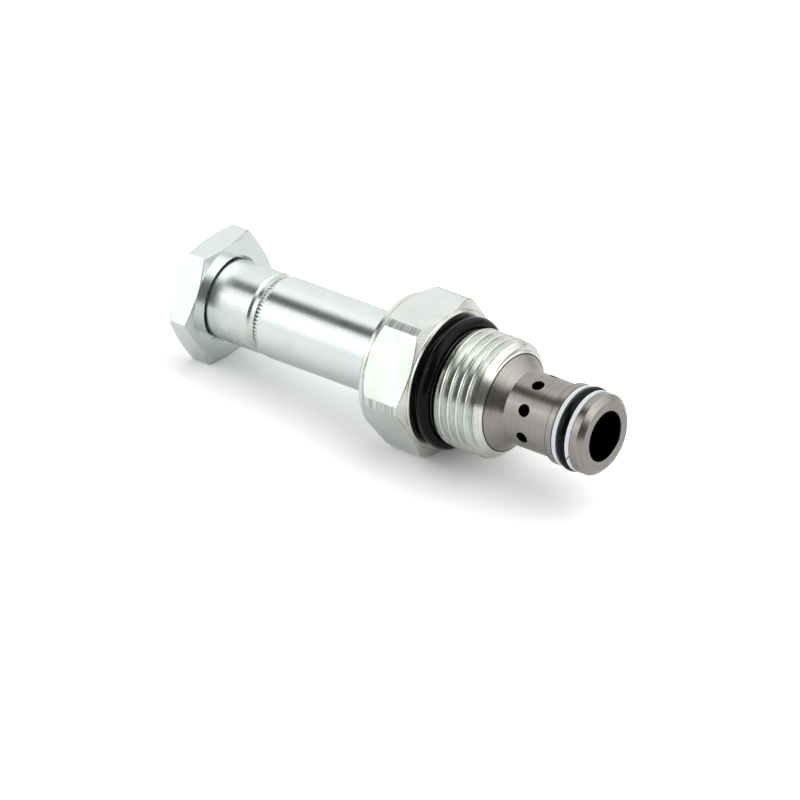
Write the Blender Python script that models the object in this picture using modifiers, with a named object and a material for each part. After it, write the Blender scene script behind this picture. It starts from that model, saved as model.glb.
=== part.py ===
"""Screw-in proportional valve: a two-way spool cartridge with its solenoid tube and coil nut.

The valve lies on a flat of its hexagon, with its axis along X and its nose towards +X. The coil
that slides over the tube isn't part of it. Stations are distances along the axis from the thread
end of the hexagon body, positive towards the nose, and radii are measured from the axis.
"""

import math

import bmesh
import bpy
from mathutils import Matrix

MM = 0.001
FULL_TURN = 2 * math.pi

# Fineness of the round shapes
OUTER_STEPS = 36
INNER_STEPS = 20
RING_SECTION_STEPS = 8
SMALL_HOLE_STEPS = 12

# Clearances
RUNNING_CLEARANCE = 0.06 * MM
SEAT_CLEARANCE = 0.1 * MM
SEAL_CLEARANCE = 0.05 * MM
THREAD_CLEARANCE = 0.2 * MM
CUT_MARGIN = 2 * MM

# Hexagon body and its port thread
THREAD_RADIUS = 9.525 * MM
THREAD_PITCH = 1.5875 * MM
THREAD_DEPTH = 0.92 * MM
THREAD_LENGTH = 8.15 * MM
THREAD_RIM_RADIUS = 8 * MM
THREAD_END_CHAMFER = 1.5 * MM
THREAD_FIRST_ROOT = 1.13 * MM
THREAD_REAR_CHAMFER = 0.22 * MM
SEAL_GLAND_LENGTH = 3.4 * MM
SEAL_GLAND_RADIUS = 8.15 * MM
SEAT_RADIUS = 11.15 * MM
SEAT_LAND_LENGTH = 0.5 * MM
HEX_ACROSS_FLATS = 22.7 * MM
HEX_CORNER_RADIUS = 12.7 * MM
HEX_THREAD_SIDE_CHAMFER = 1.2 * MM
HEX_LAND_LENGTH = 6.3 * MM
HEX_TUBE_SIDE_CHAMFER = 1.5 * MM
COLLAR_RADIUS = 11.1 * MM
COLLAR_LENGTH = 0.7 * MM
COLLAR_CHAMFER_LENGTH = 0.75 * MM
COLLAR_CHAMFER_DEPTH = 1.4 * MM
TUBE_SOCKET_DEPTH = 6.85 * MM
WEB_THICKNESS = 2.6 * MM

# Cage, the sleeve that goes into the cavity
CAGE_FLANGE_RADIUS = 7.8 * MM
CAGE_FLANGE_LENGTH = 3 * MM
CAGE_NECK_RADIUS = 5.93 * MM
CAGE_CONE_LENGTH = 1.9 * MM
CAGE_CONE_END_RADIUS = 6.2 * MM
CAGE_CONE_FILLET = 0.5 * MM
CAGE_NECK_END = 10.6 * MM
CAGE_LAND_RADIUS = 6.5 * MM
CAGE_LAND_LENGTH = 1.4 * MM
CAGE_LAND_CHAMFER = 0.15 * MM
NOSE_GROOVE_LENGTH = 3.36 * MM
NOSE_GROOVE_RADIUS = 5 * MM
NOSE_RADIUS = 6.46 * MM
NOSE_LENGTH = 1.3 * MM
NOSE_CHAMFER_LENGTH = 0.84 * MM
NOSE_CHAMFER_DEPTH = 0.9 * MM
PORT_BORE_RADIUS = 4 * MM
PORT_BORE_CHAMFER = 0.15 * MM
CAGE_SPIGOT_RADIUS = 6.2 * MM
CAGE_SPIGOT_SEAL_SETBACK = 4 * MM
CROSS_HOLE_RADIUS = 1 * MM
CROSS_HOLE_STATION = 5.9 * MM
CROSS_HOLE_COUNT = 8
CROSS_HOLE_PHASE = math.radians(13.5)

# Seals, as the radius of a round section and, for the nose, the width of a flat ring
PORT_SEAL_SECTION = 1.2 * MM
PORT_SEAL_GAP = 0.3 * MM
NOSE_SEAL_SECTION = 0.86 * MM
BACKUP_RING_WIDTH = 0.76 * MM
BACKUP_RING_RADIUS = 6.5 * MM
BACKUP_RING_LEAD_IN = 0.08 * MM
SCARF_CUT_WIDTH = 0.08 * MM
SCARF_CUT_ANGLE = math.radians(284)
SCARF_CUT_LEAN = math.radians(45)
REAR_RING_CUT_ANGLE = math.radians(104)
INNER_SEAL_SECTION = 0.5 * MM
INNER_GROOVE_WIDTH = 1.5 * MM

# Solenoid tube
TUBE_RADIUS = 6.55 * MM
TUBE_WALL = 1.1 * MM
TUBE_VISIBLE_LENGTH = 22.3 * MM
TUBE_CRIMP_LENGTH = 1.2 * MM
TUBE_CRIMP_DEPTH = 0.4 * MM
TUBE_CRIMP_SHOULDER = 0.08 * MM
TUBE_SEAL_SETBACK = 4 * MM

# End plug, whose inner end is the magnetic pole
PLUG_GROOVE_LENGTH = 0.45 * MM
PLUG_GROOVE_RADIUS = 6.05 * MM
PLUG_SHOULDER_LENGTH = 0.7 * MM
PLUG_RADIUS = 6.48 * MM
PLUG_LENGTH = 8.85 * MM
PLUG_END_CHAMFER = 0.3 * MM
STUD_RADIUS = 5.95 * MM
STUD_LENGTH = 3.5 * MM
STUD_CHAMFER = 0.6 * MM
CENTRE_HOLE_RADIUS = 0.8 * MM
CENTRE_HOLE_DEPTH = 1.2 * MM
POLE_LENGTH = 8.1 * MM
POLE_TAPER_LENGTH = 2.1 * MM
POLE_TIP_RADIUS = 5 * MM
POLE_CUP_DEPTH = 2 * MM
POLE_CUP_RADIUS = 4.72 * MM
POLE_SEAL_SETBACK = 3.6 * MM
SPRING_POCKET_RADIUS = 2.35 * MM
POLE_POCKET_DEPTH = 4 * MM

# Coil nut
NUT_ACROSS_FLATS = 19 * MM
NUT_CORNER_RADIUS = 10.93 * MM
NUT_THICKNESS = 4.2 * MM
NUT_FACE_RADIUS = 9.45 * MM
NUT_CHAMFER_LENGTH = 0.6 * MM
NUT_FRONT_SETBACK = 7.75 * MM
NUT_MOUTH_RADIUS = 6.87 * MM
NUT_MOUTH_DEPTH = 1.6 * MM

# Armature and what it carries
STROKE = 2.4 * MM
STOP_GAP = 0.1 * MM
ARMATURE_RADIUS = 5.3 * MM
ARMATURE_NOSE_RADIUS = 4.5 * MM
ARMATURE_NOSE_LENGTH = 1.9 * MM
ARMATURE_CHAMFER = 0.3 * MM
ARMATURE_POCKET_DEPTH = 5.8 * MM
ARMATURE_VENT_RADIUS = 0.9 * MM
GLIDE_RING_WIDTH = 2 * MM
GLIDE_RING_THICKNESS = 0.35 * MM
FRONT_GLIDE_SETBACK = 5.2 * MM
REAR_GLIDE_SETBACK = 1.3 * MM
AIR_GAP_SHIM_THICKNESS = 0.3 * MM
SPRING_SEAT_THICKNESS = 0.4 * MM
SPRING_SEAT_HOLE_RADIUS = 1 * MM
STEM_SOCKET_DEPTH = 6.7 * MM
PIN_SETBACK = 3 * MM
PIN_RADIUS = 0.7 * MM
PIN_LENGTH = 10 * MM

# Bias spring
WIRE_RADIUS = 0.3 * MM
SPRING_RADIUS = 1.9 * MM
SPRING_TURNS = 8
SPRING_CLOSED_TURNS = 1
SPRING_POINTS_PER_TURN = 10
SPRING_TURN_GAP = 0.03 * MM

# Spool
SPOOL_OVERLAP = 0.7 * MM
SPOOL_LENGTH = 16.1 * MM
SPOOL_CUP_RADIUS = 2.4 * MM
SPOOL_CUP_DEPTH = 12 * MM
SPOOL_EDGE_CHAMFER = 0.1 * MM
SPOOL_GROOVE_COUNT = 3
SPOOL_GROOVE_SPACING = 2 * MM
SPOOL_GROOVE_SETBACK = 5 * MM
SPOOL_GROOVE_WIDTH = 0.4 * MM
SPOOL_GROOVE_DEPTH = 0.2 * MM
STEM_RADIUS = 1.4 * MM
STEM_END_GAP = 0.4 * MM
BALANCE_HOLE_RADIUS = 0.6 * MM
BALANCE_CROSS_HOLE_RADIUS = 0.54 * MM
BALANCE_HOLE_SETBACK = 1 * MM
BALANCE_HOLE_DEPTH = 1.8 * MM
BUSH_RADIUS = 2.9 * MM
BUSH_FLANGE_RADIUS = 3.6 * MM
BUSH_FLANGE_THICKNESS = 0.5 * MM

# Stations that follow from the sizes above
SEAT_STATION = -THREAD_LENGTH - SEAL_GLAND_LENGTH
HEX_LAND_START = SEAT_STATION - HEX_THREAD_SIDE_CHAMFER
HEX_LAND_END = HEX_LAND_START - HEX_LAND_LENGTH
COLLAR_START = HEX_LAND_END - HEX_TUBE_SIDE_CHAMFER
COLLAR_END = COLLAR_START - COLLAR_LENGTH
TUBE_SIDE_STATION = COLLAR_END - COLLAR_CHAMFER_LENGTH
WEB_TUBE_SIDE = TUBE_SIDE_STATION + TUBE_SOCKET_DEPTH
WEB_NOSE_SIDE = WEB_TUBE_SIDE + WEB_THICKNESS
CAGE_REAR = WEB_NOSE_SIDE + SEAT_CLEARANCE
CAGE_GROOVE_START = CAGE_NECK_END + CAGE_LAND_LENGTH
CAGE_GROOVE_END = CAGE_GROOVE_START + NOSE_GROOVE_LENGTH
NOSE_CHAMFER_START = CAGE_GROOVE_END + NOSE_LENGTH
NOSE_STATION = NOSE_CHAMFER_START + NOSE_CHAMFER_LENGTH
TUBE_FRONT = WEB_TUBE_SIDE - SEAT_CLEARANCE
TUBE_CRIMP_START = TUBE_SIDE_STATION - TUBE_VISIBLE_LENGTH
TUBE_REAR = TUBE_CRIMP_START - TUBE_CRIMP_LENGTH
PLUG_GROOVE_START = TUBE_REAR - SEAT_CLEARANCE
PLUG_SHOULDER_START = PLUG_GROOVE_START - PLUG_GROOVE_LENGTH
PLUG_FULL_START = PLUG_SHOULDER_START - PLUG_SHOULDER_LENGTH
STUD_START = PLUG_FULL_START - PLUG_LENGTH
STUD_END = STUD_START - STUD_LENGTH
POLE_TIP = PLUG_GROOVE_START + POLE_LENGTH
POLE_CUP_FLOOR = POLE_TIP - POLE_CUP_DEPTH
POLE_POCKET_FLOOR = POLE_CUP_FLOOR - POLE_POCKET_DEPTH
NUT_FRONT = PLUG_FULL_START - NUT_FRONT_SETBACK
NUT_REAR = NUT_FRONT - NUT_THICKNESS
SHIM_FACE = POLE_CUP_FLOOR + SEAL_CLEARANCE + AIR_GAP_SHIM_THICKNESS
ARMATURE_FRONT = WEB_TUBE_SIDE - STOP_GAP
ARMATURE_REAR = SHIM_FACE + STOP_GAP + STROKE
ARMATURE_SHOULDER = ARMATURE_REAR + ARMATURE_NOSE_LENGTH
ARMATURE_POCKET_FLOOR = ARMATURE_REAR + ARMATURE_POCKET_DEPTH
STEM_SOCKET_FLOOR = ARMATURE_FRONT - STEM_SOCKET_DEPTH
PIN_STATION = ARMATURE_FRONT - PIN_SETBACK
SPOOL_FRONT = CROSS_HOLE_STATION + CROSS_HOLE_RADIUS + SPOOL_OVERLAP
SPOOL_REAR = SPOOL_FRONT - SPOOL_LENGTH
STEM_END = STEM_SOCKET_FLOOR + STEM_END_GAP
FRONT_GLIDE_REAR = ARMATURE_FRONT - FRONT_GLIDE_SETBACK - GLIDE_RING_WIDTH
REAR_GLIDE_REAR = ARMATURE_SHOULDER + REAR_GLIDE_SETBACK

# Radii that follow from the sizes above
TUBE_BORE = TUBE_RADIUS - TUBE_WALL
TUBE_SOCKET_RADIUS = TUBE_RADIUS + SEAT_CLEARANCE
CAGE_POCKET_RADIUS = CAGE_FLANGE_RADIUS + SEAT_CLEARANCE
SPIGOT_BORE_RADIUS = CAGE_SPIGOT_RADIUS + SEAT_CLEARANCE
POLE_RADIUS = TUBE_BORE - SEAT_CLEARANCE
INNER_SEAL_DEPTH = 2 * (INNER_SEAL_SECTION + SEAL_CLEARANCE)
NUT_THREAD_RADIUS = STUD_RADIUS + THREAD_CLEARANCE
BUSH_SEAT_RADIUS = BUSH_RADIUS + SEAT_CLEARANCE
BUSH_BORE = STEM_RADIUS + SEAT_CLEARANCE
SPOOL_RADIUS = PORT_BORE_RADIUS - RUNNING_CLEARANCE
GLIDE_RING_RADIUS = TUBE_BORE - RUNNING_CLEARANCE
GLIDE_RING_BORE = GLIDE_RING_RADIUS - GLIDE_RING_THICKNESS
GLIDE_GROOVE_RADIUS = GLIDE_RING_BORE - SEAL_CLEARANCE
PIN_HOLE_RADIUS = PIN_RADIUS + SEAT_CLEARANCE
SHIM_RADIUS = POLE_CUP_RADIUS - SEAT_CLEARANCE
SHIM_HOLE_RADIUS = SPRING_POCKET_RADIUS
SPRING_SEAT_RADIUS = SPRING_POCKET_RADIUS - SEAT_CLEARANCE

# The frame: its origin is below the middle of the valve's length, on the surface it lies on
AXIS_HEIGHT = HEX_ACROSS_FLATS / 2
ORIGIN_STATION = (NOSE_STATION + min(STUD_END, NUT_REAR)) / 2

ZINC = ((0.78, 0.81, 0.8), 0.3, 1.0)
STEEL = ((0.56, 0.53, 0.5), 0.38, 1.0)
SPRING_STEEL = ((0.62, 0.62, 0.64), 0.3, 1.0)
BRONZE = ((0.62, 0.42, 0.2), 0.35, 1.0)
RUBBER = ((0.015, 0.015, 0.016), 0.4, 0.0)
SEAL_PLASTIC = ((0.84, 0.88, 0.9), 0.45, 0.0)


def clear_scene():
    for obj in list(bpy.data.objects):
        bpy.data.objects.remove(obj, do_unlink=True)


def new_collection(name):
    collection = bpy.data.collections.new(name)
    bpy.context.scene.collection.children.link(collection)
    return collection


def make_axis():
    """An empty on the valve's axis, whose own Z points to the nose: every piece hangs on it."""
    axis = bpy.data.objects.new("valve_axis", None)
    axis.location = (-ORIGIN_STATION, 0, AXIS_HEIGHT)
    axis.rotation_euler = (0, math.pi / 2, 0)
    PARTS.objects.link(axis)
    return axis


def new_material(name, finish):
    colour, roughness, metallic = finish
    material = bpy.data.materials.new(name)
    material.use_nodes = True
    shader = material.node_tree.nodes["Principled BSDF"]
    shader.inputs["Base Color"].default_value = (*colour, 1)
    shader.inputs["Roughness"].default_value = roughness
    shader.inputs["Metallic"].default_value = metallic
    material.diffuse_color = (*colour, 1)
    return material


def add_piece(name, data, finish):
    """A visible piece of the valve on its axis."""
    piece = bpy.data.objects.new(name, data)
    PARTS.objects.link(piece)
    piece.parent = AXIS
    data.materials.append(new_material(name, finish))
    return piece


def add_cutter(name, data):
    """A shape that only cuts, kept out of the render."""
    cutter = bpy.data.objects.new(name, data)
    CUTTERS.objects.link(cutter)
    cutter.parent = AXIS
    cutter.hide_render = True
    cutter.display_type = "WIRE"
    return cutter


def combine(piece, other, operation):
    modifier = piece.modifiers.new(f"{operation.lower()}_{other.name}", "BOOLEAN")
    modifier.operation = operation
    modifier.object = other
    modifier.solver = "EXACT"


def section_mesh(name, outline, closed):
    """A profile of (station, radius) points as a chain of edges."""
    mesh = bpy.data.meshes.new(name)
    points = [(radius, 0, station) for station, radius in outline]
    edges = [(i, i + 1) for i in range(len(points) - 1)]
    if closed:
        edges.append((len(points) - 1, 0))
    mesh.from_pydata(points, edges, [])
    return mesh


def turned(name, outline, finish, steps, closed=True):
    """A turned piece. Its outline runs down the outer side, from the nose end to the nut end."""
    piece = add_piece(name, section_mesh(name, outline, closed), finish)
    screw = piece.modifiers.new("turn", "SCREW")
    screw.angle = FULL_TURN
    screw.steps = steps
    screw.render_steps = steps
    screw.use_merge_vertices = True
    screw.merge_threshold = 0.000001
    screw.use_smooth_shade = True
    return piece


def ring(name, front, rear, bore, radius, finish, steps=INNER_STEPS, chamfer=0):
    """A flat-sided ring, with its outer edges broken by the chamfer."""
    outline = [(front, bore)]
    if chamfer:
        outline += [(front, radius - chamfer), (front - chamfer, radius)]
        outline += [(rear + chamfer, radius), (rear, radius - chamfer)]
    else:
        outline += [(front, radius), (rear, radius)]
    outline.append((rear, bore))
    return turned(name, outline, finish, steps)


def seal(name, station, centre_radius, section, steps=INNER_STEPS):
    """An O-ring."""
    bpy.ops.mesh.primitive_torus_add(
        major_radius=centre_radius,
        minor_radius=section,
        major_segments=steps,
        minor_segments=RING_SECTION_STEPS,
    )
    made = bpy.context.active_object
    mesh = made.data
    mesh.name = name
    bpy.data.objects.remove(made, do_unlink=True)
    mesh.shade_smooth()
    piece = add_piece(name, mesh, RUBBER)
    piece.location = (0, 0, station)
    return piece


def rod_mesh(name, radius, length, steps):
    """A cylinder or prism about its own Z, centred on its middle."""
    shape = bmesh.new()
    bmesh.ops.create_cone(
        shape, cap_ends=True, segments=steps, radius1=radius, radius2=radius, depth=length
    )
    mesh = bpy.data.meshes.new(name)
    shape.to_mesh(mesh)
    shape.free()
    return mesh


def hexagon_cutter(name, across_flats, front, rear):
    """A hexagonal prism with a flat at the bottom, to trim a turned blank."""
    corner_radius = across_flats / 2 / math.cos(math.pi / 6)
    cutter = add_cutter(name, rod_mesh(name, corner_radius, front - rear, 6))
    cutter.location = (0, 0, (front + rear) / 2)
    return cutter


def cross_drill(name, station, angle, radius, length):
    """A drill across the axis, turned to the angle about it."""
    mesh = rod_mesh(name, radius, length, SMALL_HOLE_STEPS)
    mesh.transform(Matrix.Rotation(angle, 4, "Z") @ Matrix.Rotation(math.pi / 2, 4, "Y"))
    cutter = add_cutter(name, mesh)
    cutter.location = (0, 0, station)
    return cutter


def groove(front, width, radius, floor_radius):
    """The four points of a square groove, nose side first."""
    rear = front - width
    return [(front, radius), (front, floor_radius), (rear, floor_radius), (rear, radius)]


def crest_radius(station):
    """The radius of the thread's crest, which is chamfered at its end and next to the gland."""
    from_rear = station + THREAD_LENGTH
    rear_radius = THREAD_RADIUS - max(THREAD_REAR_CHAMFER - from_rear, 0)
    front_share = min(-station / THREAD_END_CHAMFER, 1)
    front_radius = THREAD_RIM_RADIUS + (THREAD_RADIUS - THREAD_RIM_RADIUS) * front_share
    return min(front_radius, rear_radius)


def thread_outline():
    """The port thread's crests and roots, one turn at a time, without its lead."""
    root_radius = THREAD_RADIUS - THREAD_DEPTH
    flank = THREAD_DEPTH * math.tan(math.pi / 6)
    turns = int((THREAD_LENGTH - THREAD_FIRST_ROOT - flank) / THREAD_PITCH) + 1
    points = [(0, THREAD_RIM_RADIUS)]
    for turn in range(turns):
        root = -THREAD_FIRST_ROOT - turn * THREAD_PITCH
        points.append((root + flank, crest_radius(root + flank)))
        points.append((root, root_radius))
        points.append((root - flank, crest_radius(root - flank)))
    return points


def make_adapter_body():
    """The plated body: port thread, seal gland, hexagon and the socket that holds the tube."""
    outline = thread_outline()
    outline += [
        (-THREAD_LENGTH, crest_radius(-THREAD_LENGTH)),
        (-THREAD_LENGTH, SEAL_GLAND_RADIUS),
        (SEAT_STATION, SEAL_GLAND_RADIUS),
        (SEAT_STATION, SEAT_RADIUS),
        (SEAT_STATION - SEAT_LAND_LENGTH, SEAT_RADIUS),
        (HEX_LAND_START, HEX_CORNER_RADIUS),
        (HEX_LAND_END, HEX_CORNER_RADIUS),
        (COLLAR_START, COLLAR_RADIUS),
        (COLLAR_END, COLLAR_RADIUS),
        (TUBE_SIDE_STATION, COLLAR_RADIUS - COLLAR_CHAMFER_DEPTH),
        (TUBE_SIDE_STATION, TUBE_SOCKET_RADIUS),
    ]
    seal_groove_floor = TUBE_SOCKET_RADIUS + INNER_SEAL_DEPTH
    seal_groove_rear = WEB_TUBE_SIDE - TUBE_SEAL_SETBACK
    outline += reversed(
        groove(
            seal_groove_rear + INNER_GROOVE_WIDTH,
            INNER_GROOVE_WIDTH,
            TUBE_SOCKET_RADIUS,
            seal_groove_floor,
        )
    )
    outline += [
        (WEB_TUBE_SIDE, TUBE_SOCKET_RADIUS),
        (WEB_TUBE_SIDE, BUSH_SEAT_RADIUS),
        (WEB_NOSE_SIDE, BUSH_SEAT_RADIUS),
        (WEB_NOSE_SIDE, SPIGOT_BORE_RADIUS),
        (-CAGE_FLANGE_LENGTH - SEAT_CLEARANCE, SPIGOT_BORE_RADIUS),
        (-CAGE_FLANGE_LENGTH - SEAT_CLEARANCE, CAGE_POCKET_RADIUS),
        (0, CAGE_POCKET_RADIUS),
    ]
    body = turned("adapter_body", outline, ZINC, OUTER_STEPS)
    hexagon = hexagon_cutter(
        "body_hexagon", HEX_ACROSS_FLATS, CUT_MARGIN, TUBE_SIDE_STATION - CUT_MARGIN
    )
    combine(body, hexagon, "INTERSECT")


def make_cage():
    """The ground sleeve: flange, drilled neck, seal groove and nose, with the spool's bore."""
    spigot_groove_front = -CAGE_FLANGE_LENGTH - CAGE_SPIGOT_SEAL_SETBACK
    outline = [
        (NOSE_STATION, PORT_BORE_RADIUS + PORT_BORE_CHAMFER),
        (NOSE_STATION, NOSE_RADIUS - NOSE_CHAMFER_DEPTH),
        (NOSE_CHAMFER_START, NOSE_RADIUS),
        (CAGE_GROOVE_END, NOSE_RADIUS),
        (CAGE_GROOVE_END, NOSE_GROOVE_RADIUS),
        (CAGE_GROOVE_START, NOSE_GROOVE_RADIUS),
        (CAGE_GROOVE_START, CAGE_LAND_RADIUS),
        (CAGE_NECK_END + CAGE_LAND_CHAMFER, CAGE_LAND_RADIUS),
        (CAGE_NECK_END, CAGE_NECK_RADIUS),
        (CAGE_CONE_LENGTH + CAGE_CONE_FILLET, CAGE_NECK_RADIUS),
        (CAGE_CONE_LENGTH, CAGE_CONE_END_RADIUS),
        (0, CAGE_FLANGE_RADIUS),
        (-CAGE_FLANGE_LENGTH, CAGE_FLANGE_RADIUS),
        (-CAGE_FLANGE_LENGTH, CAGE_SPIGOT_RADIUS),
    ]
    outline += groove(
        spigot_groove_front,
        INNER_GROOVE_WIDTH,
        CAGE_SPIGOT_RADIUS,
        CAGE_SPIGOT_RADIUS - INNER_SEAL_DEPTH,
    )
    outline += [
        (CAGE_REAR, CAGE_SPIGOT_RADIUS),
        (CAGE_REAR, PORT_BORE_RADIUS),
        (NOSE_STATION - PORT_BORE_CHAMFER, PORT_BORE_RADIUS),
    ]
    cage = turned("cage", outline, STEEL, OUTER_STEPS)
    for number in range(CROSS_HOLE_COUNT // 2):
        drill = cross_drill(
            f"cross_hole_drill_{number + 1}",
            CROSS_HOLE_STATION,
            CROSS_HOLE_PHASE + number * FULL_TURN / CROSS_HOLE_COUNT,
            CROSS_HOLE_RADIUS,
            2 * (CAGE_NECK_RADIUS + CUT_MARGIN),
        )
        combine(cage, drill, "DIFFERENCE")
    seal(
        "cage_seal",
        spigot_groove_front - INNER_GROOVE_WIDTH / 2,
        CAGE_SPIGOT_RADIUS - INNER_SEAL_DEPTH / 2,
        INNER_SEAL_SECTION,
    )


def scarf_cutter(name, station, angle):
    """A thin leaning blade that splits a backup ring at one place."""
    blade = bmesh.new()
    bmesh.ops.create_cube(blade, size=1)
    mesh = bpy.data.meshes.new(name)
    blade.to_mesh(mesh)
    blade.free()
    depth = NOSE_RADIUS - NOSE_GROOVE_RADIUS + CUT_MARGIN
    length = 2 * (BACKUP_RING_WIDTH + CUT_MARGIN)
    size = Matrix.Diagonal((depth, SCARF_CUT_WIDTH, length, 1))
    middle_radius = (NOSE_GROOVE_RADIUS + NOSE_RADIUS) / 2
    mesh.transform(
        Matrix.Rotation(angle, 4, "Z")
        @ Matrix.Translation((middle_radius, 0, 0))
        @ Matrix.Rotation(SCARF_CUT_LEAN, 4, "X")
        @ size
    )
    cutter = add_cutter(name, mesh)
    cutter.location = (0, 0, station)
    return cutter


def make_nose_seals():
    """An O-ring between two split plastic backup rings."""
    bore = NOSE_GROOVE_RADIUS + SEAL_CLEARANCE
    front_face = CAGE_GROOVE_END - SEAL_CLEARANCE
    rear_face = CAGE_GROOVE_START + SEAL_CLEARANCE
    rings = (
        ("front_backup_ring", front_face, front_face - BACKUP_RING_WIDTH, SCARF_CUT_ANGLE),
        ("rear_backup_ring", rear_face + BACKUP_RING_WIDTH, rear_face, REAR_RING_CUT_ANGLE),
    )
    for name, front, rear, angle in rings:
        backup = ring(
            name,
            front,
            rear,
            bore,
            BACKUP_RING_RADIUS,
            SEAL_PLASTIC,
            OUTER_STEPS,
            BACKUP_RING_LEAD_IN,
        )
        cutter = scarf_cutter(f"{name}_scarf", (front + rear) / 2, angle)
        combine(backup, cutter, "DIFFERENCE")
    seal(
        "nose_seal",
        (CAGE_GROOVE_START + CAGE_GROOVE_END) / 2,
        bore + NOSE_SEAL_SECTION,
        NOSE_SEAL_SECTION,
        OUTER_STEPS,
    )


def make_port_seal():
    seal(
        "port_seal",
        SEAT_STATION + PORT_SEAL_GAP + PORT_SEAL_SECTION,
        SEAL_GLAND_RADIUS + SEAL_CLEARANCE + PORT_SEAL_SECTION,
        PORT_SEAL_SECTION,
        OUTER_STEPS,
    )


def make_guide_tube():
    """The drawn tube, seated in the body and rolled over the end plug."""
    outline = [
        (TUBE_FRONT, TUBE_BORE),
        (TUBE_FRONT, TUBE_RADIUS),
        (TUBE_CRIMP_START, TUBE_RADIUS),
        (TUBE_CRIMP_START - TUBE_CRIMP_LENGTH / 2, TUBE_RADIUS - TUBE_CRIMP_SHOULDER),
        (TUBE_REAR, TUBE_RADIUS - TUBE_CRIMP_DEPTH),
        (TUBE_REAR, TUBE_BORE - TUBE_CRIMP_DEPTH),
        (TUBE_CRIMP_START, TUBE_BORE),
    ]
    turned("guide_tube", outline, ZINC, OUTER_STEPS)
    seal(
        "tube_seal",
        WEB_TUBE_SIDE - TUBE_SEAL_SETBACK + INNER_GROOVE_WIDTH / 2,
        TUBE_RADIUS + SEAL_CLEARANCE + INNER_SEAL_SECTION,
        INNER_SEAL_SECTION,
    )


def make_end_plug():
    """The plug that closes the tube: the pole inside it, and the stud for the coil nut."""
    pole_groove_front = POLE_TIP - POLE_SEAL_SETBACK
    crimp_recess_radius = POLE_RADIUS - TUBE_CRIMP_DEPTH
    outline = [
        (POLE_POCKET_FLOOR, 0),
        (POLE_POCKET_FLOOR, SPRING_POCKET_RADIUS),
        (POLE_CUP_FLOOR, SPRING_POCKET_RADIUS),
        (POLE_CUP_FLOOR, POLE_CUP_RADIUS),
        (POLE_TIP, POLE_CUP_RADIUS),
        (POLE_TIP, POLE_TIP_RADIUS),
        (POLE_TIP - POLE_TAPER_LENGTH, POLE_RADIUS),
    ]
    outline += groove(
        pole_groove_front, INNER_GROOVE_WIDTH, POLE_RADIUS, POLE_RADIUS - INNER_SEAL_DEPTH
    )
    outline += [
        (TUBE_CRIMP_START + SEAT_CLEARANCE, POLE_RADIUS),
        (TUBE_CRIMP_START + SEAT_CLEARANCE, crimp_recess_radius),
        (PLUG_GROOVE_START, crimp_recess_radius),
        (PLUG_GROOVE_START, PLUG_GROOVE_RADIUS),
        (PLUG_SHOULDER_START, PLUG_GROOVE_RADIUS),
        (PLUG_FULL_START, PLUG_RADIUS),
        (STUD_START + PLUG_END_CHAMFER, PLUG_RADIUS),
        (STUD_START, PLUG_RADIUS - PLUG_END_CHAMFER),
        (STUD_START, STUD_RADIUS),
        (STUD_END + STUD_CHAMFER, STUD_RADIUS),
        (STUD_END, STUD_RADIUS - STUD_CHAMFER),
        (STUD_END, CENTRE_HOLE_RADIUS),
        (STUD_END + CENTRE_HOLE_DEPTH, 0),
    ]
    turned("end_plug", outline, ZINC, OUTER_STEPS, closed=False)
    seal(
        "plug_seal",
        pole_groove_front - INNER_GROOVE_WIDTH / 2,
        POLE_RADIUS - INNER_SEAL_DEPTH / 2,
        INNER_SEAL_SECTION,
    )


def make_coil_nut():
    """The plated hexagon nut that holds a coil on the tube."""
    outline = [
        (NUT_FRONT, NUT_MOUTH_RADIUS),
        (NUT_FRONT, NUT_FACE_RADIUS),
        (NUT_FRONT - NUT_CHAMFER_LENGTH, NUT_CORNER_RADIUS),
        (NUT_REAR + NUT_CHAMFER_LENGTH, NUT_CORNER_RADIUS),
        (NUT_REAR, NUT_FACE_RADIUS),
        (NUT_REAR, NUT_THREAD_RADIUS),
        (NUT_FRONT - NUT_MOUTH_DEPTH, NUT_THREAD_RADIUS),
        (NUT_FRONT - NUT_MOUTH_DEPTH, NUT_MOUTH_RADIUS),
    ]
    nut = turned("coil_nut", outline, ZINC, OUTER_STEPS)
    hexagon = hexagon_cutter(
        "nut_hexagon", NUT_ACROSS_FLATS, NUT_FRONT + CUT_MARGIN, NUT_REAR - CUT_MARGIN
    )
    combine(nut, hexagon, "INTERSECT")


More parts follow.
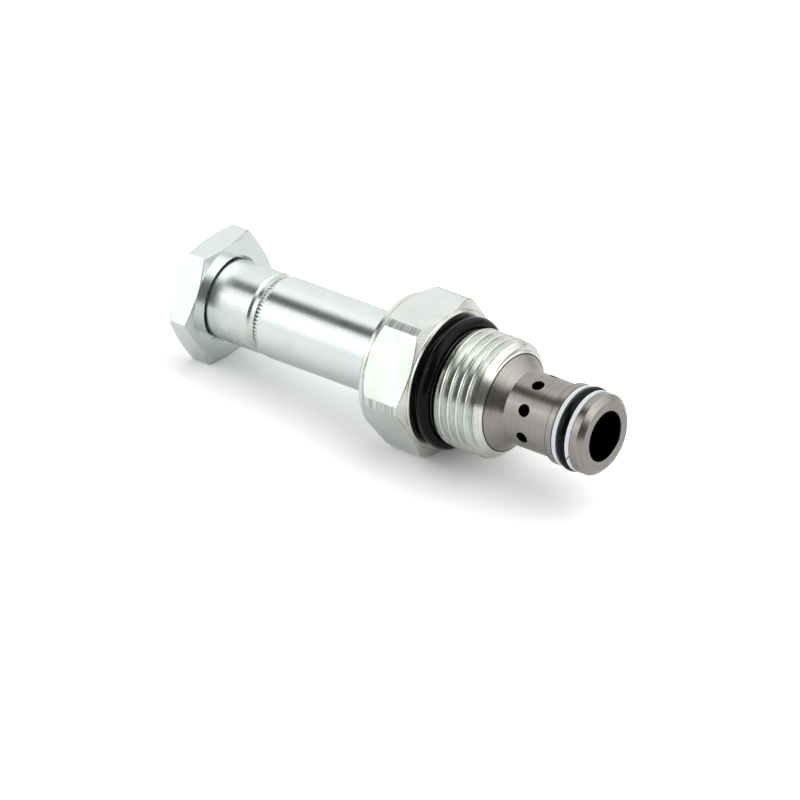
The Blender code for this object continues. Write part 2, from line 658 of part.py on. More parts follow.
def make_armature():
    """The sliding iron core, with the spring's pocket behind and the stem's socket in front."""
    outline = [
        (ARMATURE_FRONT, STEM_RADIUS + SEAT_CLEARANCE),
        (ARMATURE_FRONT, ARMATURE_RADIUS - ARMATURE_CHAMFER),
        (ARMATURE_FRONT - ARMATURE_CHAMFER, ARMATURE_RADIUS),
    ]
    for rear in (FRONT_GLIDE_REAR, REAR_GLIDE_REAR):
        outline += groove(
            rear + GLIDE_RING_WIDTH + SEAL_CLEARANCE,
            GLIDE_RING_WIDTH + 2 * SEAL_CLEARANCE,
            ARMATURE_RADIUS,
            GLIDE_GROOVE_RADIUS,
        )
    outline += [
        (ARMATURE_SHOULDER, ARMATURE_RADIUS),
        (ARMATURE_SHOULDER, ARMATURE_NOSE_RADIUS),
        (ARMATURE_REAR, ARMATURE_NOSE_RADIUS),
        (ARMATURE_REAR, SPRING_POCKET_RADIUS),
        (ARMATURE_POCKET_FLOOR, SPRING_POCKET_RADIUS),
        (ARMATURE_POCKET_FLOOR, ARMATURE_VENT_RADIUS),
        (STEM_SOCKET_FLOOR, ARMATURE_VENT_RADIUS),
        (STEM_SOCKET_FLOOR, STEM_RADIUS + SEAT_CLEARANCE),
    ]
    armature = turned("armature", outline, STEEL, INNER_STEPS)
    combine(
        armature,
        cross_drill("armature_pin_drill", PIN_STATION, 0, PIN_HOLE_RADIUS, 2 * TUBE_RADIUS),
        "DIFFERENCE",
    )
    for name, rear in (
        ("front_glide_ring", FRONT_GLIDE_REAR),
        ("rear_glide_ring", REAR_GLIDE_REAR),
    ):
        ring(name, rear + GLIDE_RING_WIDTH, rear, GLIDE_RING_BORE, GLIDE_RING_RADIUS, SEAL_PLASTIC)


def make_drive_pin():
    """The cross pin that ties the spool's stem to the armature."""
    mesh = rod_mesh("drive_pin", PIN_RADIUS, PIN_LENGTH, SMALL_HOLE_STEPS)
    mesh.transform(Matrix.Rotation(math.pi / 2, 4, "Y"))
    pin = add_piece("drive_pin", mesh, SPRING_STEEL)
    pin.location = (0, 0, PIN_STATION)


def make_pole_shims():
    """The washer that keeps the magnetic gap, and the spring's seat in the pole."""
    shim_rear = SHIM_FACE - AIR_GAP_SHIM_THICKNESS
    ring("air_gap_shim", SHIM_FACE, shim_rear, SHIM_HOLE_RADIUS, SHIM_RADIUS, BRONZE)
    seat_rear = POLE_POCKET_FLOOR + SEAL_CLEARANCE
    ring(
        "spring_seat",
        seat_rear + SPRING_SEAT_THICKNESS,
        seat_rear,
        SPRING_SEAT_HOLE_RADIUS,
        SPRING_SEAT_RADIUS,
        SPRING_STEEL,
    )


def spring_points(rear, front):
    """Points along a spring whose end turns lie closed and whose other turns share the rest."""
    free_turns = SPRING_TURNS - 2 * SPRING_CLOSED_TURNS
    closed_pitch = 2 * WIRE_RADIUS + SPRING_TURN_GAP
    free_pitch = (front - rear - 2 * SPRING_CLOSED_TURNS * closed_pitch) / free_turns
    points = []
    for number in range(SPRING_TURNS * SPRING_POINTS_PER_TURN + 1):
        turn = number / SPRING_POINTS_PER_TURN
        first = min(turn, SPRING_CLOSED_TURNS)
        last = max(turn - SPRING_TURNS + SPRING_CLOSED_TURNS, 0)
        free = turn - first - last
        height = rear + (first + last) * closed_pitch + free * free_pitch
        angle = FULL_TURN * turn
        points.append((SPRING_RADIUS * math.cos(angle), SPRING_RADIUS * math.sin(angle), height))
    return points


def make_bias_spring():
    """The spring that holds the valve closed, between the pole and the armature."""
    rear = POLE_POCKET_FLOOR + 2 * SEAL_CLEARANCE + SPRING_SEAT_THICKNESS + WIRE_RADIUS
    front = ARMATURE_POCKET_FLOOR - SEAL_CLEARANCE - WIRE_RADIUS
    curve = bpy.data.curves.new("bias_spring", "CURVE")
    curve.dimensions = "3D"
    curve.bevel_depth = WIRE_RADIUS
    curve.bevel_resolution = 1
    curve.use_fill_caps = True
    points = spring_points(rear, front)
    wire = curve.splines.new("POLY")
    wire.points.add(len(points) - 1)
    for point, place in zip(wire.points, points):
        point.co = (*place, 1)
    add_piece("bias_spring", curve, SPRING_STEEL)


def make_spool():
    """The metering spool, hollow at the nose, with a stem that goes back to the armature."""
    outline = [
        (SPOOL_FRONT - SPOOL_CUP_DEPTH, BALANCE_HOLE_RADIUS),
        (SPOOL_FRONT - SPOOL_CUP_DEPTH, SPOOL_CUP_RADIUS),
        (SPOOL_FRONT, SPOOL_CUP_RADIUS),
        (SPOOL_FRONT, SPOOL_RADIUS - SPOOL_EDGE_CHAMFER),
        (SPOOL_FRONT - SPOOL_EDGE_CHAMFER, SPOOL_RADIUS),
    ]
    for number in range(SPOOL_GROOVE_COUNT):
        outline += groove(
            SPOOL_FRONT - SPOOL_GROOVE_SETBACK - number * SPOOL_GROOVE_SPACING,
            SPOOL_GROOVE_WIDTH,
            SPOOL_RADIUS,
            SPOOL_RADIUS - SPOOL_GROOVE_DEPTH,
        )
    drilling_end = SPOOL_REAR - BALANCE_HOLE_DEPTH
    outline += [
        (SPOOL_REAR, SPOOL_RADIUS),
        (SPOOL_REAR, STEM_RADIUS),
        (STEM_END, STEM_RADIUS),
        (STEM_END, 0),
    ]
    outline = [(drilling_end, 0), (drilling_end, BALANCE_HOLE_RADIUS)] + outline
    spool = turned("spool", outline, STEEL, INNER_STEPS, closed=False)
    balance_drill = cross_drill(
        "balance_drill",
        SPOOL_REAR - BALANCE_HOLE_SETBACK,
        math.pi / 2,
        BALANCE_CROSS_HOLE_RADIUS,
        2 * SPOOL_RADIUS,
    )
    pin_drill = cross_drill("stem_pin_drill", PIN_STATION, 0, PIN_HOLE_RADIUS, 2 * SPOOL_RADIUS)
    combine(spool, balance_drill, "DIFFERENCE")
    combine(spool, pin_drill, "DIFFERENCE")


def make_stem_bush():
    """The bronze bush in the body's web that guides the spool's stem."""
    flange_rear = WEB_NOSE_SIDE + SEAL_CLEARANCE
    flange_front = flange_rear + BUSH_FLANGE_THICKNESS
    outline = [
        (flange_front, BUSH_BORE),
        (flange_front, BUSH_FLANGE_RADIUS),
        (flange_rear, BUSH_FLANGE_RADIUS),
        (flange_rear, BUSH_RADIUS),
        (WEB_TUBE_SIDE + SEAL_CLEARANCE, BUSH_RADIUS),
        (WEB_TUBE_SIDE + SEAL_CLEARANCE, BUSH_BORE),
    ]
    turned("stem_bush", outline, BRONZE, INNER_STEPS)


clear_scene()
PARTS = new_collection("proportional_valve")
CUTTERS = new_collection("cutters")
AXIS = make_axis()
make_adapter_body()
make_port_seal()
make_cage()
make_nose_seals()
make_guide_tube()
make_end_plug()
make_coil_nut()
make_armature()
make_drive_pin()
make_pole_shims()
make_bias_spring()
make_spool()
make_stem_bush()
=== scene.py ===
# %% [markdown]
# A screw-in proportional valve on white paper
#
# The valve lies on its side. From the left it has a coil nut, an end plug, a plain solenoid tube
# whose end is rolled over the plug in a row of small teeth, a hexagon body with a port thread and a
# black O-ring, and a ground steel cage with cross holes, seals and a chamfered nose.
#
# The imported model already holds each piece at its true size, but its round shapes have 36 flat
# sides. This lesson reads each turned profile back from that model and turns it again with many
# more sides and with softened edges, so nothing has to be fitted. Then it adds what the solids
# leave out: the thread's helix, the pressed teeth, the plating and the turning marks.

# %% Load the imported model
import math
from collections import namedtuple

import bmesh
import bpy
from mathutils import Matrix, Vector


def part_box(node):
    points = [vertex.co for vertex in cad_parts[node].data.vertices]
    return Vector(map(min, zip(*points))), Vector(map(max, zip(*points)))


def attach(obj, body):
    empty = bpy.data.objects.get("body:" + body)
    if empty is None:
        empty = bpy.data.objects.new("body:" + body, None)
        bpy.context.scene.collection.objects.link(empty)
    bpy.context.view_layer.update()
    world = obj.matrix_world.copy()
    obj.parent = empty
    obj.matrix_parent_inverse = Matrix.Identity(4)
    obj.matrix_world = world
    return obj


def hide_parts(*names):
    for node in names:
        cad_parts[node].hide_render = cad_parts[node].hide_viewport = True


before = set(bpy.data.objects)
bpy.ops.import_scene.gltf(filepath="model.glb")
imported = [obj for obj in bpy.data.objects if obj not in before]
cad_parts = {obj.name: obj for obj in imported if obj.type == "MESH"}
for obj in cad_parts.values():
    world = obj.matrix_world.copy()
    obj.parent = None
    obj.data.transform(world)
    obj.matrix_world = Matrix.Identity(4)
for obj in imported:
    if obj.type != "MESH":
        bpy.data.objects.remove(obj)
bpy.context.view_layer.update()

print("The packed model has", len(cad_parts), "nodes")

# %% [markdown]
# Where things are
#
# Every round piece shares one axis, along X. A place on the valve is given as a station, which is
# the distance along that axis from the thread end of the hexagon body, a radius, and an angle that
# starts at +Y and rises towards +Z. The axis and the stations come from the model's own boxes.

# %% Axis, stations and angles
MM = 0.001
FULL_TURN = 2 * math.pi
SIXTH_TURN = FULL_TURN / 6
WELD = 2e-7

body_low, body_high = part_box("adapter_body")
nut_low, nut_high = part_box("coil_nut")
THREAD_END = body_high.x
AXIS_HEIGHT = (body_low.z + body_high.z) / 2


def place(station, radius, angle):
    """The point of the model at a station, a radius and an angle around the axis."""
    return Vector(
        (
            THREAD_END + station,
            radius * math.cos(angle),
            AXIS_HEIGHT + radius * math.sin(angle),
        )
    )


print(f"The axis lies {AXIS_HEIGHT / MM:.2f} mm above the table")

# %% [markdown]
# Reading a turned profile
#
# A turned solid meets the half plane on its +Y side in a chain of edges, and that chain is its
# profile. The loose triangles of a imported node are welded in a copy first, and the chain is then
# walked from point to point. A profile that ends on the axis is left open, and any other is a loop.

# %% Read the profile of a node
PLANE_MARGIN = 0.002 * MM


def profile_of(node):
    """The (station, radius) points of a node's turned profile, in order."""
    shape = bmesh.new()
    shape.from_mesh(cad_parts[node].data)
    bmesh.ops.remove_doubles(shape, verts=shape.verts, dist=WELD)

    def on_half_plane(vertex):
        return abs(vertex.co.z - AXIS_HEIGHT) < PLANE_MARGIN and vertex.co.y > -PLANE_MARGIN

    links = {}
    for edge in shape.edges:
        if all(on_half_plane(vertex) for vertex in edge.verts):
            first, second = edge.verts
            links.setdefault(first, []).append(second)
            links.setdefault(second, []).append(first)
    ends = [vertex for vertex, others in links.items() if len(others) == 1]
    vertex = min(ends or links, key=lambda v: (v.co.x, v.co.y))
    chain = []
    while vertex:
        chain.append(vertex)
        vertex = next((v for v in links[vertex] if v not in chain), None)
    points = [(v.co.x - THREAD_END, max(v.co.y, 0.0)) for v in chain]
    shape.free()
    return points


print("The nut's profile has", len(profile_of("coil_nut")), "points")

# %% [markdown]
# Softened edges
#
# No turned edge is perfectly sharp, and a sharp one catches no light. Each corner of a profile is
# replaced by a small curve. The flat face next to such a curve would look bent, because smooth
# shading mixes the directions of the two, so each curve also gets a support point on either side
# that keeps this mixing within a few hundredths of a millimetre. A point carries a third number,
# which is 1 on a softened edge and 0 on a face or a shallow bend, and the plating is painted with
# it later.

# %% Round the corners of a profile
CURVE_STEPS = 3
SUPPORT_REACH = 1.6
LARGEST_SHARE = 0.28
SHALLOW_BEND = math.radians(38)


def rounded(points, break_length, closed=True):
    """The profile with each corner cut back by the break length and bridged by a small curve."""
    made = []
    count = len(points)
    for number, (station, radius) in enumerate(points):
        corner = Vector((station, radius))
        if not closed and number in (0, count - 1):
            made.append((station, radius, 0.0))
            continue
        before = Vector(points[number - 1]) - corner
        after = Vector(points[(number + 1) % count]) - corner
        cut = min(break_length, LARGEST_SHARE * before.length, LARGEST_SHARE * after.length)
        start = corner + before.normalized() * cut
        end = corner + after.normalized() * cut
        edge = 1.0 if math.pi - before.angle(after) > SHALLOW_BEND else 0.0
        made.append((*(corner + before.normalized() * cut * SUPPORT_REACH), 0.0))
        for step in range(CURVE_STEPS + 1):
            share = step / CURVE_STEPS
            bend = start.lerp(corner, share).lerp(corner.lerp(end, share), share)
            made.append((*bend, edge))
        made.append((*(corner + after.normalized() * cut * SUPPORT_REACH), 0.0))
    return made


def refined(points, longest, first, last):
    """The profile with more points on its long stretches between two stations."""
    made = []
    for here, there in zip(points, points[1:] + points[:1]):
        made.append(here)
        inside = min(here[0], there[0]) > first and max(here[0], there[0]) < last
        pieces = math.ceil((Vector(there[:2]) - Vector(here[:2])).length / longest) if inside else 1
        for step in range(1, pieces):
            share = step / pieces
            made.append(tuple(a + (b - a) * share for a, b in zip(here, there)))
    return made


# %% [markdown]
# A skin around the axis
#
# The turned mesh is a grid of columns. One column is the profile at one angle, and neighbouring
# columns are joined by four-sided faces. A function gives the column at each angle, so the same
# code makes a plain ring, a hexagon whose flats cut into a turned blank, and a ring whose rows
# climb with a thread.

# %% Join columns into a mesh
def skin(name, column, angles, closed=True, caps=False):
    """A closed mesh through one column of (station, radius, edge) points at each angle."""
    shape = bmesh.new()
    edge_layer = shape.verts.layers.float.new("edge")
    rows = []
    for angle in angles:
        row = []
        for station, radius, edge in column(angle):
            vertex = shape.verts.new(place(station, radius, angle))
            vertex[edge_layer] = edge
            row.append(vertex)
        rows.append(row)
    for here, there in zip(rows, rows[1:]):
        last = len(here) if closed else len(here) - 1
        for number in range(last):
            after = (number + 1) % len(here)
            shape.faces.new((here[number], here[after], there[after], there[number]))
    if caps:
        shape.faces.new(rows[0])
        shape.faces.new(rows[-1])
    bmesh.ops.remove_doubles(shape, verts=shape.verts, dist=WELD)
    bmesh.ops.dissolve_degenerate(shape, edges=shape.edges, dist=WELD)
    loose = [edge for edge in shape.edges if not edge.link_faces]
    bmesh.ops.delete(shape, geom=loose, context="EDGES")
    bmesh.ops.recalc_face_normals(shape, faces=shape.faces)
    mesh = bpy.data.meshes.new(name)
    shape.to_mesh(mesh)
    shape.free()
    piece = bpy.data.objects.new(name, mesh)
    bpy.context.scene.collection.objects.link(piece)
    return piece


def even_angles(steps):
    """Angles once around the axis, the last at the place of the first."""
    return [FULL_TURN * step / steps for step in range(steps + 1)]


ROUND_STEPS = 144
SHARP_ANGLE = math.radians(33)


def finish_piece(piece, body, slot, *nodes):
    """Shades a piece, lets it ride on its body and puts it in the place of its nodes."""
    piece.data.shade_smooth()
    piece.data.set_sharp_from_angle(angle=SHARP_ANGLE)
    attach(piece, body)
    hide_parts(*nodes)
    print(piece.name, "has", len(piece.data.polygons), "faces")


# %% [markdown]
# Node trees from Python expressions
#
# Patterns in a material and moves in Geometry Nodes are both sums on sockets. A small class wraps
# a socket, so that a formula can be written as it is in a book: each operator adds its Math node.
# One method adds any other node.

# %% Wrap a node tree
class Value:
    """An output socket that takes Python's operators."""

    def __init__(self, tree, socket):
        self.tree = tree
        self.socket = socket

    def math(self, operation, *others):
        return self.tree.add("ShaderNodeMath", {"operation": operation}, [self, *others])

    def other(self, name):
        """Another output of the same node."""
        return Value(self.tree, self.socket.node.outputs[name])

    def clamped(self):
        return self.tree.add("ShaderNodeClamp", {}, [self])

    def __add__(self, other):
        return self.math("ADD", other)

    __radd__ = __add__

    def __sub__(self, other):
        return self.math("SUBTRACT", other)

    def __rsub__(self, other):
        return self.tree.add("ShaderNodeMath", {"operation": "SUBTRACT"}, [other, self])

    def __mul__(self, other):
        return self.math("MULTIPLY", other)

    __rmul__ = __mul__

    def __truediv__(self, other):
        return self.math("DIVIDE", other)

    def __rtruediv__(self, other):
        return self.tree.add("ShaderNodeMath", {"operation": "DIVIDE"}, [other, self])

    def __abs__(self):
        return self.math("ABSOLUTE")


class Tree:
    """A node tree that is filled from Python."""

    def __init__(self, nodes_of):
        self.nodes = nodes_of.nodes
        self.links = nodes_of.links
        self.nodes.clear()

    def add(self, kind, settings=None, sockets=(), out=0):
        """A node of this kind, with its settings first and then its sockets' values or links."""
        node = self.nodes.new(kind)
        for name, value in (settings or {}).items():
            if name == "stops":
                self.set_stops(node.color_ramp, value)
            else:
                setattr(node, name, value)
        pairs = sockets.items() if isinstance(sockets, dict) else enumerate(sockets)
        for key, value in pairs:
            if isinstance(value, Value):
                self.links.new(value.socket, node.inputs[key])
            else:
                node.inputs[key].default_value = value
        return Value(self, node.outputs[out]) if len(node.outputs) else node

    def set_stops(self, ramp, stops):
        """A ramp's stops, as (position, grey or colour) pairs."""
        while len(ramp.elements) < len(stops):
            ramp.elements.new(1.0)
        for element, (position, colour) in zip(ramp.elements, stops):
            element.position = position
            grey = isinstance(colour, (int, float))
            element.color = (colour, colour, colour, 1) if grey else (*colour, 1)

    def vector(self, x, y, z):
        return self.add("ShaderNodeCombineXYZ", {}, [x, y, z])

    def noise(self, vector, scale, detail=2.0, roughness=0.5):
        sockets = {"Vector": vector, "Scale": scale, "Detail": detail, "Roughness": roughness}
        return self.add("ShaderNodeTexNoise", {}, sockets)

    def mix(self, factor, first, second):
        sockets = {0: factor, 6: rgba(first), 7: rgba(second)}
        return self.add("ShaderNodeMix", {"data_type": "RGBA"}, sockets, out=2)

    def mix_values(self, factor, first, second):
        return self.add("ShaderNodeMix", {"data_type": "FLOAT"}, {0: factor, 2: first, 3: second})

    def bump(self, height, depth, below=None):
        """Relief of this depth, on top of the relief below."""
        sockets = {"Height": height, "Distance": depth, "Strength": 1.0}
        if below:
            sockets["Normal"] = below
        return self.add("ShaderNodeBump", {}, sockets)

    def attribute(self, name):
        return self.add("ShaderNodeAttribute", {"attribute_name": name}, [], out="Fac")


def rgba(colour):
    return colour if isinstance(colour, Value) else (*colour, 1)


# %% [markdown]
# Geometry Nodes as a machine tool
#
# Three jobs on this valve repeat themselves around the axis: the thread, the pressed teeth and the
# cross holes. Each is a small Geometry Nodes tree that is built here, given its sizes by named
# inputs, and applied, so that the piece ends as a plain mesh.

# %% Build and apply a geometry tree
def new_tool(name, sizes):
    """A geometry tree with one named input for each size, and the input node's sockets."""
    group = bpy.data.node_groups.new(name, "GeometryNodeTree")
    group.interface.new_socket("Geometry", in_out="INPUT", socket_type="NodeSocketGeometry")
    for size in sizes:
        group.interface.new_socket(size, in_out="INPUT", socket_type="NodeSocketFloat")
    group.interface.new_socket("Geometry", in_out="OUTPUT", socket_type="NodeSocketGeometry")
    tree = Tree(group)
    geometry = tree.add("NodeGroupInput")
    return group, tree, geometry, {size: geometry.other(size) for size in sizes}


def end_tool(tree, geometry, material):
    """Ends a tree: real geometry, with its material, to the output."""
    real = tree.add("GeometryNodeRealizeInstances", {}, [geometry])
    sockets = {"Geometry": real, "Material": material}
    painted = tree.add("GeometryNodeSetMaterial", {}, sockets)
    tree.add("NodeGroupOutput", {}, [painted])


def apply_tool(piece, group, sizes):
    """Runs a geometry tree on a piece and keeps the result as its plain mesh."""
    modifier = piece.modifiers.new(group.name, "NODES")
    modifier.node_group = group
    for socket in group.interface.items_tree:
        if socket.item_type == "SOCKET" and socket.name in sizes:
            modifier[socket.identifier] = sizes[socket.name]
    evaluated = piece.evaluated_get(bpy.context.evaluated_depsgraph_get())
    mesh = bpy.data.meshes.new_from_object(evaluated)
    piece.modifiers.remove(modifier)
    piece.data = mesh
    mesh.name = piece.name


def around_axis(tree):
    """Fields for a point's X, its Y, its height over the axis, its radius and its angle."""
    position = tree.add("GeometryNodeInputPosition")
    x = tree.add("ShaderNodeSeparateXYZ", {}, [position])
    y = x.other("Y")
    rise = x.other("Z") - AXIS_HEIGHT
    radius = (y * y + rise * rise).math("SQRT")
    return x, y, rise, radius, rise.math("ARCTAN2", y)


def move_to_radius(tree, geometry, x, y, rise, radius, new_radius):
    """Moves each point in or out to its new radius."""
    scale = new_radius / radius
    place_now = tree.vector(x, y * scale, rise * scale + AXIS_HEIGHT)
    return tree.add("GeometryNodeSetPosition", {}, {"Geometry": geometry, "Position": place_now})


# %% [markdown]
# Zinc plate
#
# The body, tube, plug and nut are steel with clear zinc plate: a bright metal with a pale blue or
# green cast, and a thin film that turns yellowish at edges and in roots where it is thicker. The same
# yellow is also painted shade: partly in the thread's roots and along its crests, and wholly in the
# tube's notches and on the plug's shoulder. Up close the plating is finely grained, so a reflection's
# border breaks up into specks. Turning leaves rings, which here are noise that changes fast along
# the axis and the radius and slowly around.
# The grain and the rings go through Bump nodes, and colour and roughness follow larger patches.
# The corners of the body's hexagon are left as they were turned, with coarser ribs, and its thread
# is smoother than its flats.

# %% Zinc plate materials
def new_material(name):
    material = bpy.data.materials.new(name)
    material.use_nodes = True
    return material, Tree(material.node_tree)


Spot = namedtuple("Spot", "point station radius y rise")


def spot_on_piece(tree):
    """Object coordinates, as the point and as its station and its radius from the axis."""
    point = tree.add("ShaderNodeTexCoord", {}, [], out="Object")
    x = tree.add("ShaderNodeSeparateXYZ", {}, [point])
    y = x.other("Y")
    rise = x.other("Z") - AXIS_HEIGHT
    radius = (y * y + rise * rise).math("SQRT")
    return Spot(point, x - THREAD_END, radius, y, rise)


def ring_marks(tree, spot, spacing, drift=0.05):
    """Noise in rings around the axis, about one ring each spacing. Drift breaks the rings up."""
    around = (spot.y + spot.rise) * (drift / spacing)
    rings = tree.vector(spot.station / spacing, spot.radius / spacing, around)
    return tree.noise(rings, scale=1.0, detail=3.0, roughness=0.6)


def surface(tree, material, **sockets):
    """A Principled shader with these sockets, at the material's output."""
    sockets = {name.replace("_", " "): value for name, value in sockets.items()}
    shader = tree.add("ShaderNodeBsdfPrincipled", {}, sockets)
    tree.add("ShaderNodeOutputMaterial", {}, [shader])
    return material


PLATE_PATCH_SCALE = 260.0
GRAIN_SCALE = 4500.0
TURNING_SPACING = 0.12 * MM
BORDER_WIDTH = 0.03 * MM
SHADE_START = 0.8
SHADE_SLOPE = 1.6
FILM_AND_SHADE_YELLOW = (0.45, 0.42, 0.28)
FILM_AND_SHADE_START = 0.33
FILM_AND_SHADE_SLOPE = 3.0
RIB_SHADE = (0.3, 0.32, 0.29)
RIB_START = 0.42
RIB_SLOPE = 4.0
RIB_SPACING = 0.16 * MM
RIB_DRIFT = 0.01
RIB_DEPTH = 0.02 * MM
RIB_ROUGHNESS = 0.2
PATCH_ROUGHNESS = 0.12
GRAIN_ROUGHNESS = 0.06
SMOOTHING = 0.07


def zinc(name, colour, shade, roughness, marks, grain, ribs_from=1.0, smooth_within=0.0):
    """Zinc plate with turning marks and grain as deep as given, in millimetres.

    Outside the radius where ribs begin, the turning marks are coarse ribs. Inside the radius of
    the smooth part, the plate is smoother by SMOOTHING."""
    material, tree = new_material(name)
    spot = spot_on_piece(tree)
    patches = tree.noise(spot.point, PLATE_PATCH_SCALE, detail=3.0)
    specks = tree.noise(spot.point, GRAIN_SCALE)
    rings = ring_marks(tree, spot, TURNING_SPACING)
    ribs = ring_marks(tree, spot, RIB_SPACING, RIB_DRIFT)
    on_land = ((spot.radius - ribs_from) / BORDER_WIDTH).clamped()
    smooth = ((smooth_within - spot.radius) / BORDER_WIDTH).clamped() * SMOOTHING
    edge = tree.attribute("edge")
    tinted = tree.mix(((patches + specks - SHADE_START) * SHADE_SLOPE).clamped(), colour, shade)
    marred = tree.mix(((ribs - RIB_START) * on_land * RIB_SLOPE).clamped(), tinted, RIB_SHADE)
    # The yellowish film colour is the real film on softened edges, and painted shade where the tools
    # wrote the mask: roots, crests, notches and the plug's shoulder.
    with_film_and_shade = tree.mix((edge * (patches - FILM_AND_SHADE_START) * FILM_AND_SHADE_SLOPE).clamped(), marred, FILM_AND_SHADE_YELLOW)
    grained = tree.bump(specks, grain * MM)
    marked = tree.bump(rings, marks * MM, grained)
    ribbed = tree.bump(ribs * on_land, RIB_DEPTH, marked)
    uneven = patches * PATCH_ROUGHNESS + specks * GRAIN_ROUGHNESS + on_land * RIB_ROUGHNESS
    middle = roughness - (PATCH_ROUGHNESS + GRAIN_ROUGHNESS) / 2
    return surface(
        tree,
        material,
        Base_Color=with_film_and_shade,
        Metallic=1.0,
        Roughness=uneven - smooth + middle,
        Normal=ribbed,
    )


NUT_ZINC = zinc(
    "nut_zinc", (0.84, 0.9, 0.905), (0.77, 0.84, 0.84), roughness=0.2, marks=0.001, grain=0.003
)
TUBE_ZINC = zinc(
    "tube_zinc", (0.86, 0.91, 0.9), (0.79, 0.85, 0.84), roughness=0.23, marks=0.002, grain=0.012
)
PLUG_ZINC = zinc(
    "plug_zinc", (0.81, 0.87, 0.85), (0.73, 0.79, 0.77), roughness=0.27, marks=0.012, grain=0.006
)
BODY_ZINC = zinc(
    "body_zinc",
    (0.86, 0.888, 0.858),
    (0.75, 0.79, 0.75),
    roughness=0.24,
    marks=0.004,
    grain=0.01,
    ribs_from=12.64 * MM,
    smooth_within=9.6 * MM,
)

# %% [markdown]
# Ground steel
#
# The cage is hardened steel, turned and ground, with no plating. The steel is a warm grey that is
# far darker than the zinc, its rings are coarser, and the grinding leaves short bands that are
# duller than their neighbours. Little light comes back out of the bore and the cross holes, so their
# walls have painted shade, and the sharp edges behind the nose seals are painted darker as shade too.

# %% Ground steel material
HOLE_STATION = 5.9 * MM
HOLE_RADIUS = 1 * MM
HOLE_SHADE_RADIUS = 5.85 * MM
HOLE_SHADE_WIDTH = 0.2 * MM
HOLE_SHADE_REACH = 1.1 * HOLE_RADIUS
BORE_SHADE_RADIUS = 4.1 * MM
BORE_SHADE_WIDTH = 0.05 * MM
STEEL_DARK = (0.26, 0.241, 0.222)
STEEL_LIGHT = (0.455, 0.427, 0.4)
STEEL_HOLE_SHADE = (0.035, 0.029, 0.023)
STEEL_EDGE_SHADE = (0.05, 0.045, 0.04)
EDGE_SHADE_LENGTH = 12.2 * MM
EDGE_SHADE = 0.8
COARSE_SPACING = 0.25 * MM
COARSE_DEPTH = 0.005 * MM
FINE_SPACING = 0.07 * MM
FINE_DRIFT = 0.12
FINE_DEPTH = 0.006 * MM
STEEL_PATCH_SCALE = 420.0
STEEL_ROUGHNESS = 0.16
STEEL_PATCH_ROUGHNESS = 0.12
FINE_ROUGHNESS = 0.1


def ground_steel(name):
    material, tree = new_material(name)
    spot = spot_on_piece(tree)
    coarse = ring_marks(tree, spot, COARSE_SPACING)
    fine = ring_marks(tree, spot, FINE_SPACING, FINE_DRIFT)
    patches = tree.noise(spot.point, STEEL_PATCH_SCALE, detail=4.0)
    # Painted shade: the walls of the bore and of the cross holes are darkened to near black.
    bore = ((BORE_SHADE_RADIUS - spot.radius) / BORE_SHADE_WIDTH).clamped()
    near_holes = abs(spot.station - HOLE_STATION).math("LESS_THAN", HOLE_SHADE_REACH)
    in_hole = ((HOLE_SHADE_RADIUS - spot.radius) / HOLE_SHADE_WIDTH).clamped() * near_holes
    steel = tree.mix(coarse, STEEL_DARK, STEEL_LIGHT)
    hole_shaded = tree.mix(bore.math("MAXIMUM", in_hole), steel, STEEL_HOLE_SHADE)
    # Painted shade: the edges behind the nose are darkened.
    behind_nose = spot.station.math("LESS_THAN", EDGE_SHADE_LENGTH)
    colour = tree.mix(tree.attribute("edge") * behind_nose * EDGE_SHADE, hole_shaded, STEEL_EDGE_SHADE)
    marked = tree.bump(fine, FINE_DEPTH, tree.bump(coarse, COARSE_DEPTH))
    return surface(
        tree,
        material,
        Base_Color=colour,
        Metallic=1.0,
        Roughness=patches * STEEL_PATCH_ROUGHNESS + fine * FINE_ROUGHNESS + STEEL_ROUGHNESS,
        Normal=marked,
    )


CAGE_STEEL = ground_steel("cage_steel")

# %% [markdown]
# Rubber, backup plastic and the inner metals
#
# The O-rings are black rubber with a faint bloom, smooth enough to show soft streaks. The backup
# rings are white plastic with a waxy, faintly blue cast. The pieces inside the valve hardly show in
# a closed valve, but they do when it is taken apart, so each has its own finish as well. The spool
# is painted near black as shade, which is why the cross holes in front of it look dark.

# %% Rubber, plastic and inner metals
RUBBER_BLACK = (0.0012, 0.0012, 0.0013)
RUBBER_BLOOM = (0.003, 0.003, 0.0033)
RUBBER_ROUGHNESS = 0.09
BLOOM_SCALE = 350.0
BLOOM_ROUGHNESS = 0.1
RUBBER_GLOSS_INDEX = 1.24
PORE_SCALE = 6000.0
PORE_ROUGHNESS = 0.03
PLASTIC_SHADE = (0.68, 0.73, 0.76)
PLASTIC_WHITE = (0.74, 0.79, 0.81)
PLASTIC_ROUGHNESS = 0.38
PLASTIC_RING_SPACING = 0.1 * MM
CLOUD_SCALE = 500.0
CLOUD_ROUGHNESS = 0.15
PLASTIC_GLOW = 0.1
PLASTIC_GLOW_DEPTH = 0.4 * MM
MARK_DEPTH = 0.003 * MM
INNER_RING_SPACING = 0.15 * MM
INNER_MIDDLE = 0.07


def rubber(name):
    material, tree = new_material(name)
    spot = spot_on_piece(tree)
    bloom = tree.noise(spot.point, BLOOM_SCALE, detail=3.0)
    pores = tree.noise(spot.point, PORE_SCALE)
    return surface(
        tree,
        material,
        Base_Color=tree.mix(bloom, RUBBER_BLACK, RUBBER_BLOOM),
        Roughness=bloom * BLOOM_ROUGHNESS + pores * PORE_ROUGHNESS + RUBBER_ROUGHNESS,
        IOR=RUBBER_GLOSS_INDEX,
        Normal=tree.bump(pores, MARK_DEPTH),
    )


